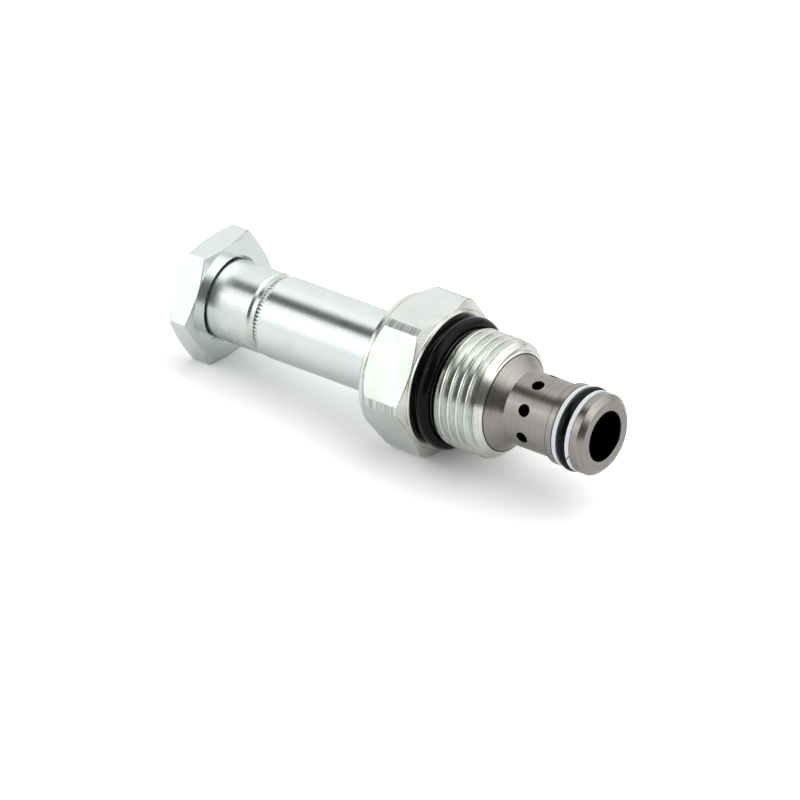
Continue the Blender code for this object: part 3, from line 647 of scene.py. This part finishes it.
def plastic(name):
    material, tree = new_material(name)
    spot = spot_on_piece(tree)
    cloud = tree.noise(spot.point, CLOUD_SCALE)
    return surface(
        tree,
        material,
        Base_Color=tree.mix(cloud, PLASTIC_SHADE, PLASTIC_WHITE),
        Roughness=cloud * CLOUD_ROUGHNESS + PLASTIC_ROUGHNESS,
        Subsurface_Weight=PLASTIC_GLOW,
        Subsurface_Scale=PLASTIC_GLOW_DEPTH,
        Normal=tree.bump(ring_marks(tree, spot, PLASTIC_RING_SPACING), MARK_DEPTH),
    )


def bare_metal(name, dark, light, roughness):
    material, tree = new_material(name)
    spot = spot_on_piece(tree)
    rings = ring_marks(tree, spot, INNER_RING_SPACING)
    patches = tree.noise(spot.point, CLOUD_SCALE, detail=3.0)
    return surface(
        tree,
        material,
        Base_Color=tree.mix(rings, dark, light),
        Metallic=1.0,
        Roughness=patches * CLOUD_ROUGHNESS + (roughness - INNER_MIDDLE),
        Normal=tree.bump(rings, COARSE_DEPTH),
    )


RUBBER = rubber("seal_rubber")
PLASTIC = plastic("seal_plastic")
CORE_IRON = bare_metal("core_iron", (0.42, 0.42, 0.42), (0.58, 0.58, 0.57), 0.32)
SPRING_STEEL = bare_metal("spring_steel", (0.5, 0.5, 0.52), (0.68, 0.68, 0.7), 0.25)
# The spool is painted near black: painted shade seen through the cross holes.
SPOOL_SHADE_BLACK = bare_metal("spool_shade_black", (0.025, 0.023, 0.021), (0.06, 0.057, 0.053), 0.35)
BRONZE = bare_metal("bronze", (0.5, 0.31, 0.13), (0.7, 0.47, 0.24), 0.33)

# %% [markdown]
# The hexagon
#
# A hexagon nut starts as a turned blank with a chamfer at each end. Milling the flats then takes
# away whatever stands outside the hexagon, and where a flat meets the conical chamfer it leaves the
# curved edge that every nut has. In a column of the skin the flat is a limit on the radius, and a
# corner of the land slides down its chamfer until it is inside that limit. A soft minimum rounds
# the edge between a flat and the land, and the angles are closer together there.

# %% Cut flats into a turned profile
FLAT_EDGE_SOFTNESS = 0.07 * MM
HEXAGON_STEPS = 120
LEAST_ANGLE = 0.0008
EDGE_ANGLES = (-1.1, -0.6, -0.3, -0.125, 0, 0.125, 0.3, 0.6, 1.1)


def flat_distance(across_flats, angle):
    """How far the hexagon reaches at an angle. It has a flat at the top and the bottom."""
    from_flat = angle % SIXTH_TURN - SIXTH_TURN / 2
    return across_flats / 2 / math.cos(from_flat)


def with_flats(points, across_flats, angle):
    """The profile at this angle, with its land cut back to the hexagon."""
    reach = flat_distance(across_flats, angle)
    made = []
    for number, (station, radius) in enumerate(points):
        if radius < across_flats / 2:
            made.append((station, radius))
            continue
        neighbours = (points[number - 1], points[(number + 1) % len(points)])
        low_station, low_radius = min(neighbours, key=lambda point: point[1])
        gap = radius - reach
        limit = (radius + reach - math.sqrt(gap * gap + FLAT_EDGE_SOFTNESS**2)) / 2
        share = (limit - low_radius) / (radius - low_radius)
        made.append((low_station + (station - low_station) * share, limit))
    return made


def hexagon_angles(across_flats, corner_radius):
    """Angles once around, with extra ones beside each edge between a flat and a corner's land."""
    half_land = SIXTH_TURN / 2 - math.acos(across_flats / 2 / corner_radius)
    angles = set(round(angle, 6) for angle in even_angles(HEXAGON_STEPS)[:-1])
    for corner in range(6):
        for side in (-half_land, half_land):
            middle = corner * SIXTH_TURN + side
            for offset in EDGE_ANGLES:
                angles.add(round((middle + math.radians(offset)) % FULL_TURN, 6))
    ordered = sorted(angles)
    kept = [ordered[0]]
    for angle in ordered[1:]:
        if angle - kept[-1] > LEAST_ANGLE:
            kept.append(angle)
    return kept + [kept[0] + FULL_TURN]


# %% [markdown]
# The coil nut
#
# The nut that holds the coil is thin, with a wide mouth around the plug. Its edges are crisp and
# show as thin bright or yellow lines. The thread on the stud sits in the dark gap behind the mouth.

# %% Make the coil nut
NUT_EDGE_BREAK = 0.07 * MM
nut_profile = profile_of("coil_nut")
nut_across_flats = nut_high.z - nut_low.z
nut_corner_radius = max(radius for station, radius in nut_profile)


def nut_column(angle):
    return rounded(with_flats(nut_profile, nut_across_flats, angle), NUT_EDGE_BREAK)


nut_angles = hexagon_angles(nut_across_flats, nut_corner_radius)
coil_nut = skin("plated_coil_nut", nut_column, nut_angles)
coil_nut.data.materials.append(NUT_ZINC)
finish_piece(coil_nut, "nut", "zinc_plate", "coil_nut")

# %% [markdown]
# The hexagon body and its thread
#
# The port thread is a true helix here. The rows of the skin climb along the thread, one pitch for
# each turn, and stop at the thread's two ends, so every crest and root runs along a row. After one
# full turn the last column lies exactly on the first, one pitch of rows further on, and the two are
# welded. The rows still lie on a plain chamfered cylinder: the Geometry Nodes tool then presses each
# point in by the depth of the thread at its place on the helix.

# %% Make the blank of the body
BODY_EDGE_BREAK = 0.09 * MM
THREAD_PITCH = 1.5875 * MM
THREAD_ROWS_PER_PITCH = 24
RIM_MARGIN = 0.1 * MM

body_profile = profile_of("adapter_body")
body_across_flats = body_high.z - body_low.z
body_corner_radius = max(radius for station, radius in body_profile)
seal_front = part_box("port_seal")[1].x
thread_points = [point for point in body_profile if point[0] + THREAD_END > seal_front]
crest_radius = max(radius for station, radius in thread_points)
thread_rear = min(station for station, radius in thread_points)
rear_radius = max(radius for station, radius in thread_points if station < thread_rear + WELD)
rim_radius = max(radius for station, radius in thread_points if station > -WELD)
root_radius = min(radius for station, radius in thread_points if radius > rim_radius + WELD)
behind_rim = [point for point in thread_points if point[0] < -RIM_MARGIN]
first_crest = max(point for point in behind_rim if point[1] > rim_radius)
rim_slope = (first_crest[1] - rim_radius) / -first_crest[0]


def is_thread(point):
    station, radius = point
    return station > thread_rear + WELD and radius > rim_radius - WELD


start = next(
    number
    for number, point in enumerate(body_profile)
    if not is_thread(point) and is_thread(body_profile[number - 1])
)
turned_points = body_profile[start:] + body_profile[:start]
turned_points = [point for point in turned_points if not is_thread(point)]
if turned_points[0][0] > thread_rear / 2:
    turned_points.reverse()


def blank_radius(station):
    """The radius of the blank that the thread is cut in, with a chamfer at both ends."""
    front = rim_radius - rim_slope * station
    rear = rear_radius + station - thread_rear
    return min(front, rear, crest_radius)


def body_column(angle):
    """One column of the body: the turned and milled part, and then the rows of the thread."""
    column = rounded(
        with_flats(turned_points, body_across_flats, angle), BODY_EDGE_BREAK, closed=False
    )
    rows = math.ceil((1 - thread_rear / THREAD_PITCH) * THREAD_ROWS_PER_PITCH) + 1
    for number in range(rows):
        climb = THREAD_PITCH * (angle / FULL_TURN - number / THREAD_ROWS_PER_PITCH)
        station = min(max(climb, thread_rear), 0)
        column.append((station, blank_radius(station), 0.0))
    return column


body_angles = hexagon_angles(body_across_flats, body_corner_radius)
body_piece = skin("plated_body", body_column, body_angles)
print("Thread from", round(thread_rear / MM, 2), "mm, crest", round(crest_radius / MM, 3))

# %% [markdown]
# Cutting the thread
#
# On a helix the phase of a point is its station divided by the pitch, less its share of a full
# turn. The distance of that phase from the middle of a root gives the depth: full depth across the
# rounded root, none on the crest, and a straight flank between the two. The tool also writes the
# plating's yellowish film in the roots and along the crests; there it is partly the real, thicker
# film and partly painted shade.

# %% Cut the thread with Geometry Nodes
ROOT_HALF_WIDTH = 0.1 * MM
FLANK_WIDTH = 0.53 * MM
FLANK_ROUNDING = 0.12
ROOT_FILM_AND_SHADE_START = 0.75
CREST_FILM_AND_SHADE_PLACE = 0.08
FILM_AND_SHADE_SHARPNESS = 6.0
ROOT_PHASE = 0.9
REAR_MARGIN = 0.01 * MM

group, tree, geometry, size = new_tool(
    "cut_thread", ["Pitch", "Crest Radius", "Depth", "Rear", "Root Phase"]
)
x, y, rise, radius, angle = around_axis(tree)
station = x - THREAD_END
phase = station / size["Pitch"] - angle / FULL_TURN + size["Root Phase"]
from_root = abs(phase.math("FRACT") - 0.5) * size["Pitch"]
open_share = (ROOT_HALF_WIDTH + FLANK_WIDTH - from_root) / FLANK_WIDTH
depth = open_share.math("SMOOTH_MIN", 1.0, FLANK_ROUNDING)
depth = depth.math("SMOOTH_MAX", 0.0, FLANK_ROUNDING) * size["Depth"]
in_thread = station.math("GREATER_THAN", size["Rear"])
outside = radius.math("GREATER_THAN", size["Crest Radius"] - size["Depth"])
cut_radius = radius.math("MINIMUM", size["Crest Radius"] - depth)
new_radius = tree.mix_values(in_thread * outside, radius, cut_radius)
old_film = tree.add("GeometryNodeInputNamedAttribute", {"data_type": "FLOAT"}, {"Name": "edge"})
# Partly real film, partly painted shade: the roots and the lines beside the crests get the yellowish
# film colour.
root_film_and_shade = ((open_share - ROOT_FILM_AND_SHADE_START) * FILM_AND_SHADE_SHARPNESS).clamped()
crest_film_and_shade = (1.0 - abs(open_share - CREST_FILM_AND_SHADE_PLACE) * FILM_AND_SHADE_SHARPNESS).clamped()
thread_film_and_shade = root_film_and_shade.math("MAXIMUM", crest_film_and_shade) * in_thread * outside
film_and_shade = old_film.math("MAXIMUM", thread_film_and_shade)
with_film_and_shade = tree.add(
    "GeometryNodeStoreNamedAttribute",
    {"data_type": "FLOAT", "domain": "POINT"},
    {"Geometry": geometry, "Name": "edge", "Value": film_and_shade},
)
cut = move_to_radius(tree, with_film_and_shade, x, y, rise, radius, new_radius)
end_tool(tree, cut, BODY_ZINC)
apply_tool(
    body_piece,
    group,
    {
        "Pitch": THREAD_PITCH,
        "Crest Radius": crest_radius,
        "Depth": crest_radius - root_radius,
        "Rear": thread_rear + REAR_MARGIN,
        "Root Phase": ROOT_PHASE,
    },
)
finish_piece(body_piece, "valve_body", "zinc_plate", "adapter_body")

# %% [markdown]
# The solenoid tube and its pressed teeth
#
# The tube's end is rolled over the plug, and the rolling tool leaves a ring of small teeth at the
# very end. The tool here presses a notch between each pair of teeth, which runs out of the end
# face, and it writes painted shade into the notches as well, in the yellowish film colour.

# %% Make the tube and press its teeth
TOOTH_COUNT = 64
COLUMNS_PER_TOOTH = 6
TOOTH_LENGTH = 1.1 * MM
TOOTH_RUN = 0.6 * MM
TOOTH_DEPTH = 0.22 * MM
NOTCH_DEPTH_SHARE = 1.6
NOTCH_SLOPE = 5.6
NOTCH_SHADE = 1.6
TUBE_EDGE_BREAK = 0.08 * MM
TOOTH_ROW_SPACING = 0.08 * MM
CRIMP_MARGIN = 1 * MM
CRIMP_DEPTH = 0.7 * MM
tube_profile = profile_of("guide_tube")
tube_rear = min(station for station, radius in tube_profile)
tube_radius = max(radius for station, radius in tube_profile)
crimp_start = min(station for station, radius in tube_profile if radius > tube_radius - WELD)
tube_columns = refined(
    rounded(tube_profile, TUBE_EDGE_BREAK),
    TOOTH_ROW_SPACING,
    tube_rear - CRIMP_MARGIN,
    crimp_start + CRIMP_MARGIN,
)
guide_tube = skin(
    "plated_tube", lambda angle: tube_columns, even_angles(TOOTH_COUNT * COLUMNS_PER_TOOTH)
)

group, tree, geometry, size = new_tool(
    "press_teeth", ["Teeth", "Front", "Run", "Depth", "Outer Radius"]
)
x, y, rise, radius, angle = around_axis(tree)
station = x - THREAD_END
turn = (angle / FULL_TURN * size["Teeth"]).math("FRACT")
notch = (NOTCH_DEPTH_SHARE - abs(turn - 0.5) * NOTCH_SLOPE).clamped()
band = ((size["Front"] - station) / size["Run"]).clamped()
outside = radius.math("GREATER_THAN", size["Outer Radius"])
pressed_share = notch * band * outside
pressed = radius - pressed_share * size["Depth"]
# Painted shade: the notches are darkened through the film's mask.
with_film_and_shade = tree.add(
    "GeometryNodeStoreNamedAttribute",
    {"data_type": "FLOAT", "domain": "POINT"},
    {"Geometry": geometry, "Name": "edge", "Value": pressed_share * NOTCH_SHADE},
)
end_tool(tree, move_to_radius(tree, with_film_and_shade, x, y, rise, radius, pressed), TUBE_ZINC)
apply_tool(
    guide_tube,
    group,
    {
        "Teeth": float(TOOTH_COUNT),
        "Front": tube_rear + TOOTH_LENGTH,
        "Run": TOOTH_RUN,
        "Depth": TOOTH_DEPTH,
        "Outer Radius": tube_radius - CRIMP_DEPTH,
    },
)
finish_piece(guide_tube, "valve_body", "zinc_plate", "guide_tube")

# %% [markdown]
# The end plug
#
# The plug is turned in one piece: the pole inside the tube, the neck and shoulder at the rolled
# end, the plain stretch where the coil's end sits, and the stud for the nut. In the photograph the
# neck is as wide as the tube's rolled end, and its shoulder is short, so both are drawn here. The
# shoulder gets painted shade in the yellowish film colour, written as if it were an edge, which
# tones down its reflection.

# %% Make the end plug
PLUG_EDGE_BREAK = 0.1 * MM
PLUG_NECK_RADIUS = 6.22 * MM
PLUG_SHOULDER_LENGTH = 0.4 * MM
PLUG_GAP = 0.02 * MM
SHOULDER_SHADE = 0.4
plug_profile = profile_of("end_plug")
plug_radius = max(radius for station, radius in plug_profile)
shoulder_rear = max(station for station, radius in plug_profile if radius > plug_radius - WELD)
neck = [point for point in plug_profile if shoulder_rear + WELD < point[0] < tube_rear]
neck_floor = max(radius for station, radius in neck)
against_tube = (tube_rear - PLUG_GAP, PLUG_NECK_RADIUS)
drawn = {point: against_tube for point in neck if point[1] > neck_floor - WELD}
drawn[min(neck)] = (shoulder_rear + PLUG_SHOULDER_LENGTH, PLUG_NECK_RADIUS)
plug_profile = [drawn.get(point, point) for point in plug_profile]
for end in (0, -1):
    if plug_profile[end][1] > WELD:
        axis_point = (plug_profile[end][0], 0.0)
        plug_profile = [axis_point] + plug_profile if end == 0 else plug_profile + [axis_point]
# Painted shade: the shoulder's points carry part of the film's mask, which darkens its reflection.
plug_columns = [
    (station, radius, edge if station < shoulder_rear else SHOULDER_SHADE)
    for station, radius, edge in rounded(plug_profile, PLUG_EDGE_BREAK, closed=False)
]
end_plug = skin("plated_end_plug", lambda angle: plug_columns, even_angles(ROUND_STEPS), closed=False)
end_plug.data.materials.append(PLUG_ZINC)
finish_piece(end_plug, "valve_body", "zinc_plate", "end_plug")

# %% [markdown]
# The cage
#
# The cage is one turned sleeve with eight cross holes on a circle. The holes are drilled by a
# Geometry Nodes tool: one drill is turned to each angle and taken away with a Boolean. The neck has
# close rows, so that the cut leaves small clean faces around a hole.

# %% Turn the cage and drill its holes
CAGE_EDGE_BREAK = 0.1 * MM
NECK_ROW_SPACING = 0.3 * MM
NECK_START = 2.4 * MM
NECK_END = 11 * MM
HOLE_COUNT = 8
HOLE_PHASE = math.radians(13.5)
DRILL_SIDES = 40
DRILL_DEPTH_SHARE = 0.8
NECK_RADIUS = 5.93 * MM
cage_profile = profile_of("cage")
cage_columns = refined(
    rounded(cage_profile, CAGE_EDGE_BREAK), NECK_ROW_SPACING, NECK_START, NECK_END
)
cage = skin("ground_cage", lambda angle: cage_columns, even_angles(ROUND_STEPS))

group, tree, geometry, size = new_tool(
    "drill_cross_holes", ["Holes", "Phase", "Station", "Drill Radius", "Neck Radius"]
)
reach = size["Neck Radius"]
drill = tree.add(
    "GeometryNodeMeshCylinder",
    {},
    {"Vertices": DRILL_SIDES, "Radius": size["Drill Radius"], "Depth": reach * DRILL_DEPTH_SHARE},
)
drill = tree.add(
    "GeometryNodeTransform",
    {},
    {"Geometry": drill, "Translation": tree.vector(0.0, 0.0, reach)},
)
points = tree.add(
    "GeometryNodePoints",
    {},
    {"Count": size["Holes"], "Position": tree.vector(size["Station"], 0.0, AXIS_HEIGHT)},
)
number = tree.add("GeometryNodeInputIndex")
turn = number * FULL_TURN / size["Holes"] + size["Phase"] - math.pi / 2
drills = tree.add(
    "GeometryNodeInstanceOnPoints",
    {},
    {"Points": points, "Instance": drill, "Rotation": tree.vector(turn, 0.0, 0.0)},
)
drills = tree.add("GeometryNodeRealizeInstances", {}, [drills])
drilled = tree.add(
    "GeometryNodeMeshBoolean",
    {"operation": "DIFFERENCE", "solver": "MANIFOLD"},
    {"Mesh 1": geometry, "Mesh 2": drills},
)
end_tool(tree, drilled, CAGE_STEEL)
apply_tool(
    cage,
    group,
    {
        "Holes": float(HOLE_COUNT),
        "Phase": HOLE_PHASE,
        "Station": THREAD_END + HOLE_STATION,
        "Drill Radius": HOLE_RADIUS,
        "Neck Radius": NECK_RADIUS,
    },
)
finish_piece(cage, "valve_body", "ground_steel", "cage")

# %% [markdown]
# O-rings
#
# An O-ring's section is a circle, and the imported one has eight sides. Its middle and its thickness
# come from its box, and the section is drawn again as a fine circle.

# %% Make the two visible O-rings
SECTION_STEPS = 40
O_RING_STEPS = 160


def make_o_ring(name, node):
    low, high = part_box(node)
    section = (high.x - low.x) / 2
    middle = (high.x + low.x) / 2 - THREAD_END
    centre_radius = (high.y - low.y) / 2 - section
    circle = [
        (
            middle + section * math.cos(FULL_TURN * step / SECTION_STEPS),
            centre_radius + section * math.sin(FULL_TURN * step / SECTION_STEPS),
            0.0,
        )
        for step in range(SECTION_STEPS)
    ]
    ring = skin(name, lambda angle: circle, even_angles(O_RING_STEPS))
    ring.data.materials.append(RUBBER)
    finish_piece(ring, "valve_body", "seal_rubber", node)


make_o_ring("port_o_ring", "port_seal")
make_o_ring("nose_o_ring", "nose_seal")

# %% [markdown]
# Backup rings
#
# Each backup ring is split by a slanting cut, so that it can be opened over the nose. Its skin
# starts on one side of the cut and ends on the other, and each point is turned in proportion to its
# station, so that the two ends lean as the cut does. The two cuts face away from each other.

# %% Make the split backup rings
SCARF_GAP = 0.24 * MM
SCARF_LEAN = 1.4
FRONT_CUT_ANGLE = math.radians(194.5)
RING_EDGE_BREAK = 0.06 * MM


def bore_radius(node):
    """The radius of a ring's bore."""
    return min(
        math.hypot(vertex.co.y, vertex.co.z - AXIS_HEIGHT)
        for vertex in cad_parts[node].data.vertices
    )


def make_backup_ring(name, node, cut_angle):
    low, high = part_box(node)
    rear = low.x - THREAD_END
    front = high.x - THREAD_END
    bore = bore_radius(node)
    radius = (high.y - low.y) / 2
    outline = [(rear, bore), (rear, radius), (front, radius), (front, bore)]
    columns = rounded(outline, RING_EDGE_BREAK)
    gap = SCARF_GAP / radius
    first = cut_angle + gap / 2
    angles = [first + (FULL_TURN - gap) * step / ROUND_STEPS for step in range(ROUND_STEPS + 1)]
    ring = skin(name, lambda angle: columns, angles, caps=True)
    middle = Vector(((low.x + high.x) / 2, 0, AXIS_HEIGHT))
    for vertex in ring.data.vertices:
        lean = (vertex.co.x - middle.x) * SCARF_LEAN / radius
        vertex.co = Matrix.Rotation(-lean, 3, "X") @ (vertex.co - middle) + middle
    ring.data.materials.append(PLASTIC)
    finish_piece(ring, "valve_body", "seal_plastic", node)


make_backup_ring("front_split_ring", "front_backup_ring", FRONT_CUT_ANGLE)
make_backup_ring("rear_split_ring", "rear_backup_ring", FRONT_CUT_ANGLE - FULL_TURN / 2)

# %% [markdown]
# The pieces inside
#
# The spool, the armature and the small pieces with them keep their imported shape. Each gets the
# finish that it has on the bench, except the spool, which is painted near black as shade for the
# cross holes in front of it.

# %% Paint the inner pieces
INNER_FINISHES = {
    "cage_seal": RUBBER,
    "tube_seal": RUBBER,
    "plug_seal": RUBBER,
    "armature": CORE_IRON,
    "front_glide_ring": PLASTIC,
    "rear_glide_ring": PLASTIC,
    "drive_pin": SPRING_STEEL,
    "spring_seat": SPRING_STEEL,
    "bias_spring": SPRING_STEEL,
    "air_gap_shim": BRONZE,
    "stem_bush": BRONZE,
    # The spool's near black is painted shade for the cross holes.
    "spool": SPOOL_SHADE_BLACK,
}
for node, material in INNER_FINISHES.items():
    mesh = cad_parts[node].data
    mesh.materials.clear()
    mesh.materials.append(material)
print("Painted", len(INNER_FINISHES), "inner pieces")

# %% [markdown]
# The table and the light
#
# The valve rests on two hexagons of different sizes, so its axis isn't level: the table touches the
# bottom flat of the body at its tube end and the bottom flat of the nut. In the model's frame that
# makes the table slope. The photograph's background is pure white with a soft shadow, so the paper
# has a second diffuse layer, which only the camera and, far weaker, reflections see.
#
# The light is a white tent. A polished cylinder shows the tent as stripes along its length, so a
# tent that is white all over would leave it without a shape. This one has a dark gap between its
# front panel and its top, which gives the dark stripe along the tube, and a bright strip in the
# front panel, which gives rubber its highlights. Towards the nose the tent has stops of its own,
# which the cones and the faces that look that way reflect. A wide lamp just over the table fills
# the shadow below the tube. Reflections don't show it.

# %% Lay the table
PAPER_SIZE = 6.0
PAPER_COLOUR = (0.8, 0.8, 0.8)
CONTACT_STATION = -19.0 * MM
SEEN_WHITENESS = 0.46
MIRRORED_WHITENESS = 0.05

contact = Vector((THREAD_END + CONTACT_STATION, 0, body_low.z))
nut_contact = Vector(((nut_low.x + nut_high.x) / 2, 0, nut_low.z))
slope = math.atan2(nut_contact.z - contact.z, contact.x - nut_contact.x)
bpy.ops.mesh.primitive_plane_add(size=PAPER_SIZE, location=contact, rotation=(0, slope, 0))
paper = bpy.context.active_object
paper.name = "paper"

material, tree = new_material("white_paper")
light_path = tree.add("ShaderNodeLightPath", {}, [], out="Is Camera Ray")
seen = light_path * SEEN_WHITENESS + light_path.other("Is Glossy Ray") * MIRRORED_WHITENESS
sheet = tree.add("ShaderNodeBsdfDiffuse", {}, {"Color": rgba(PAPER_COLOUR)})
whiter = tree.add("ShaderNodeBsdfDiffuse", {}, {"Color": tree.vector(seen, seen, seen)})
both = tree.add("ShaderNodeAddShader", {}, [sheet, whiter])
tree.add("ShaderNodeOutputMaterial", {}, [both])
paper.data.materials.append(material)
print(f"The table slopes by {math.degrees(slope):.2f} degrees")

# %% Light the tent
TENT_STOPS = [
    (0.0, 0.9),
    (0.12, 0.94),
    (0.17, 1.02),
    (0.19, 1.1),
    (0.225, 1.06),
    (0.257, 0.06),
    (0.312, 0.06),
    (0.328, 1.15),
    (0.38, 1.15),
    (0.39, 1.9),
    (0.405, 1.9),
    (0.415, 1.15),
    (0.46, 1.15),
    (0.5, 0.7),
]

BEYOND_STOPS = [
    (0.0, 0.5),
    (0.04, 0.9),
    (0.1, 1.3),
    (0.24, 1.9),
    (0.29, 1.2),
    (0.33, 0.15),
    (0.5, 0.08),
    (0.9, 0.08),
]
TENT_BLEND = 4.0
BACKDROP_WHITE = (1, 1, 1)
FILL_DISTANCE = 0.6
FILL_RISE = math.radians(18)
FILL_SIZE = 0.4
FILL_WATTS = 1.0

fill = bpy.data.lights.new("fill", "AREA")
fill.shape = "DISK"
fill.size = FILL_SIZE
fill.energy = FILL_WATTS
fill_lamp = bpy.data.objects.new("fill", fill)
towards_lamp = Vector((0, -math.cos(FILL_RISE), math.sin(FILL_RISE)))
fill_lamp.location = contact + towards_lamp * FILL_DISTANCE
fill_lamp.rotation_euler = towards_lamp.to_track_quat("Z", "Y").to_euler()
fill_lamp.visible_glossy = False
bpy.context.scene.collection.objects.link(fill_lamp)

world = bpy.data.worlds.new("tent")
bpy.context.scene.world = world
world.use_nodes = True
tree = Tree(world.node_tree)
direction = tree.add("ShaderNodeTexCoord", {}, [], out="Generated")
along = tree.add("ShaderNodeSeparateXYZ", {}, [direction])
across = along.other("Y")
up = across.other("Z")
turn = (up.math("ARCTAN2", across) / FULL_TURN + 1.0).math("FRACT")
rear_half = tree.add("ShaderNodeValToRGB", {"stops": TENT_STOPS}, [turn])
front_half = tree.add("ShaderNodeValToRGB", {"stops": BEYOND_STOPS}, [turn])
tent = tree.mix((along * TENT_BLEND + 1.0).clamped(), rear_half, front_half)
light_path = tree.add("ShaderNodeLightPath", {}, [], out="Is Camera Ray")
inside = tree.add("ShaderNodeBackground", {}, {"Color": tent, "Strength": 1.0})
behind = tree.add("ShaderNodeBackground", {}, {"Color": rgba(BACKDROP_WHITE), "Strength": 1.0})
shown = tree.add("ShaderNodeMixShader", {}, [light_path, inside, behind])
tree.add("ShaderNodeOutputWorld", {}, [shown])

# %% [markdown]
# The camera
#
# The view was worked out from the circles and hexagon corners in the photograph. It is a long lens
# more than two metres away, which looks down on the valve from the front, on the side of its nose.
# The valve is also rolled by a little more than two degrees about its axis as it lies there.

# %% Place the camera
VIEW_YAW = math.radians(37.46)
VIEW_ELEVATION = math.radians(29.02)
VALVE_ROLL = math.radians(-2.35)
VIEW_DISTANCE = 2243.5 * MM
FRAME_PIXELS = 800
FOCAL_PIXELS = 14726.8
THREAD_END_PIXEL = (513.43, 402.56)
SENSOR_WIDTH = 36.0
FARTHEST_SEEN = 20.0

right = Vector((math.cos(VIEW_YAW), math.sin(VIEW_YAW), 0))
back = Vector(
    (
        math.sin(VIEW_YAW) * math.cos(VIEW_ELEVATION),
        -math.cos(VIEW_YAW) * math.cos(VIEW_ELEVATION),
        math.sin(VIEW_ELEVATION),
    )
)
up = back.cross(right)
aside = (THREAD_END_PIXEL[0] - FRAME_PIXELS / 2) / FOCAL_PIXELS
above = (FRAME_PIXELS / 2 - THREAD_END_PIXEL[1]) / FOCAL_PIXELS
ray = right * aside + up * above - back
from_thread_end = -ray.normalized() * VIEW_DISTANCE
view = Matrix((right, up, back)).transposed().to_4x4()
view.translation = from_thread_end
roll = Matrix.Rotation(VALVE_ROLL, 4, "X")
at_thread_end = Matrix.Translation((THREAD_END, 0, AXIS_HEIGHT))

lens = bpy.data.cameras.new("camera")
lens.sensor_width = SENSOR_WIDTH
lens.lens = FOCAL_PIXELS / FRAME_PIXELS * SENSOR_WIDTH
lens.clip_end = FARTHEST_SEEN
camera = bpy.data.objects.new("camera", lens)
bpy.context.scene.collection.objects.link(camera)
camera.matrix_world = at_thread_end @ roll @ view
bpy.context.scene.camera = camera
bpy.context.scene.view_settings.view_transform = "Standard"
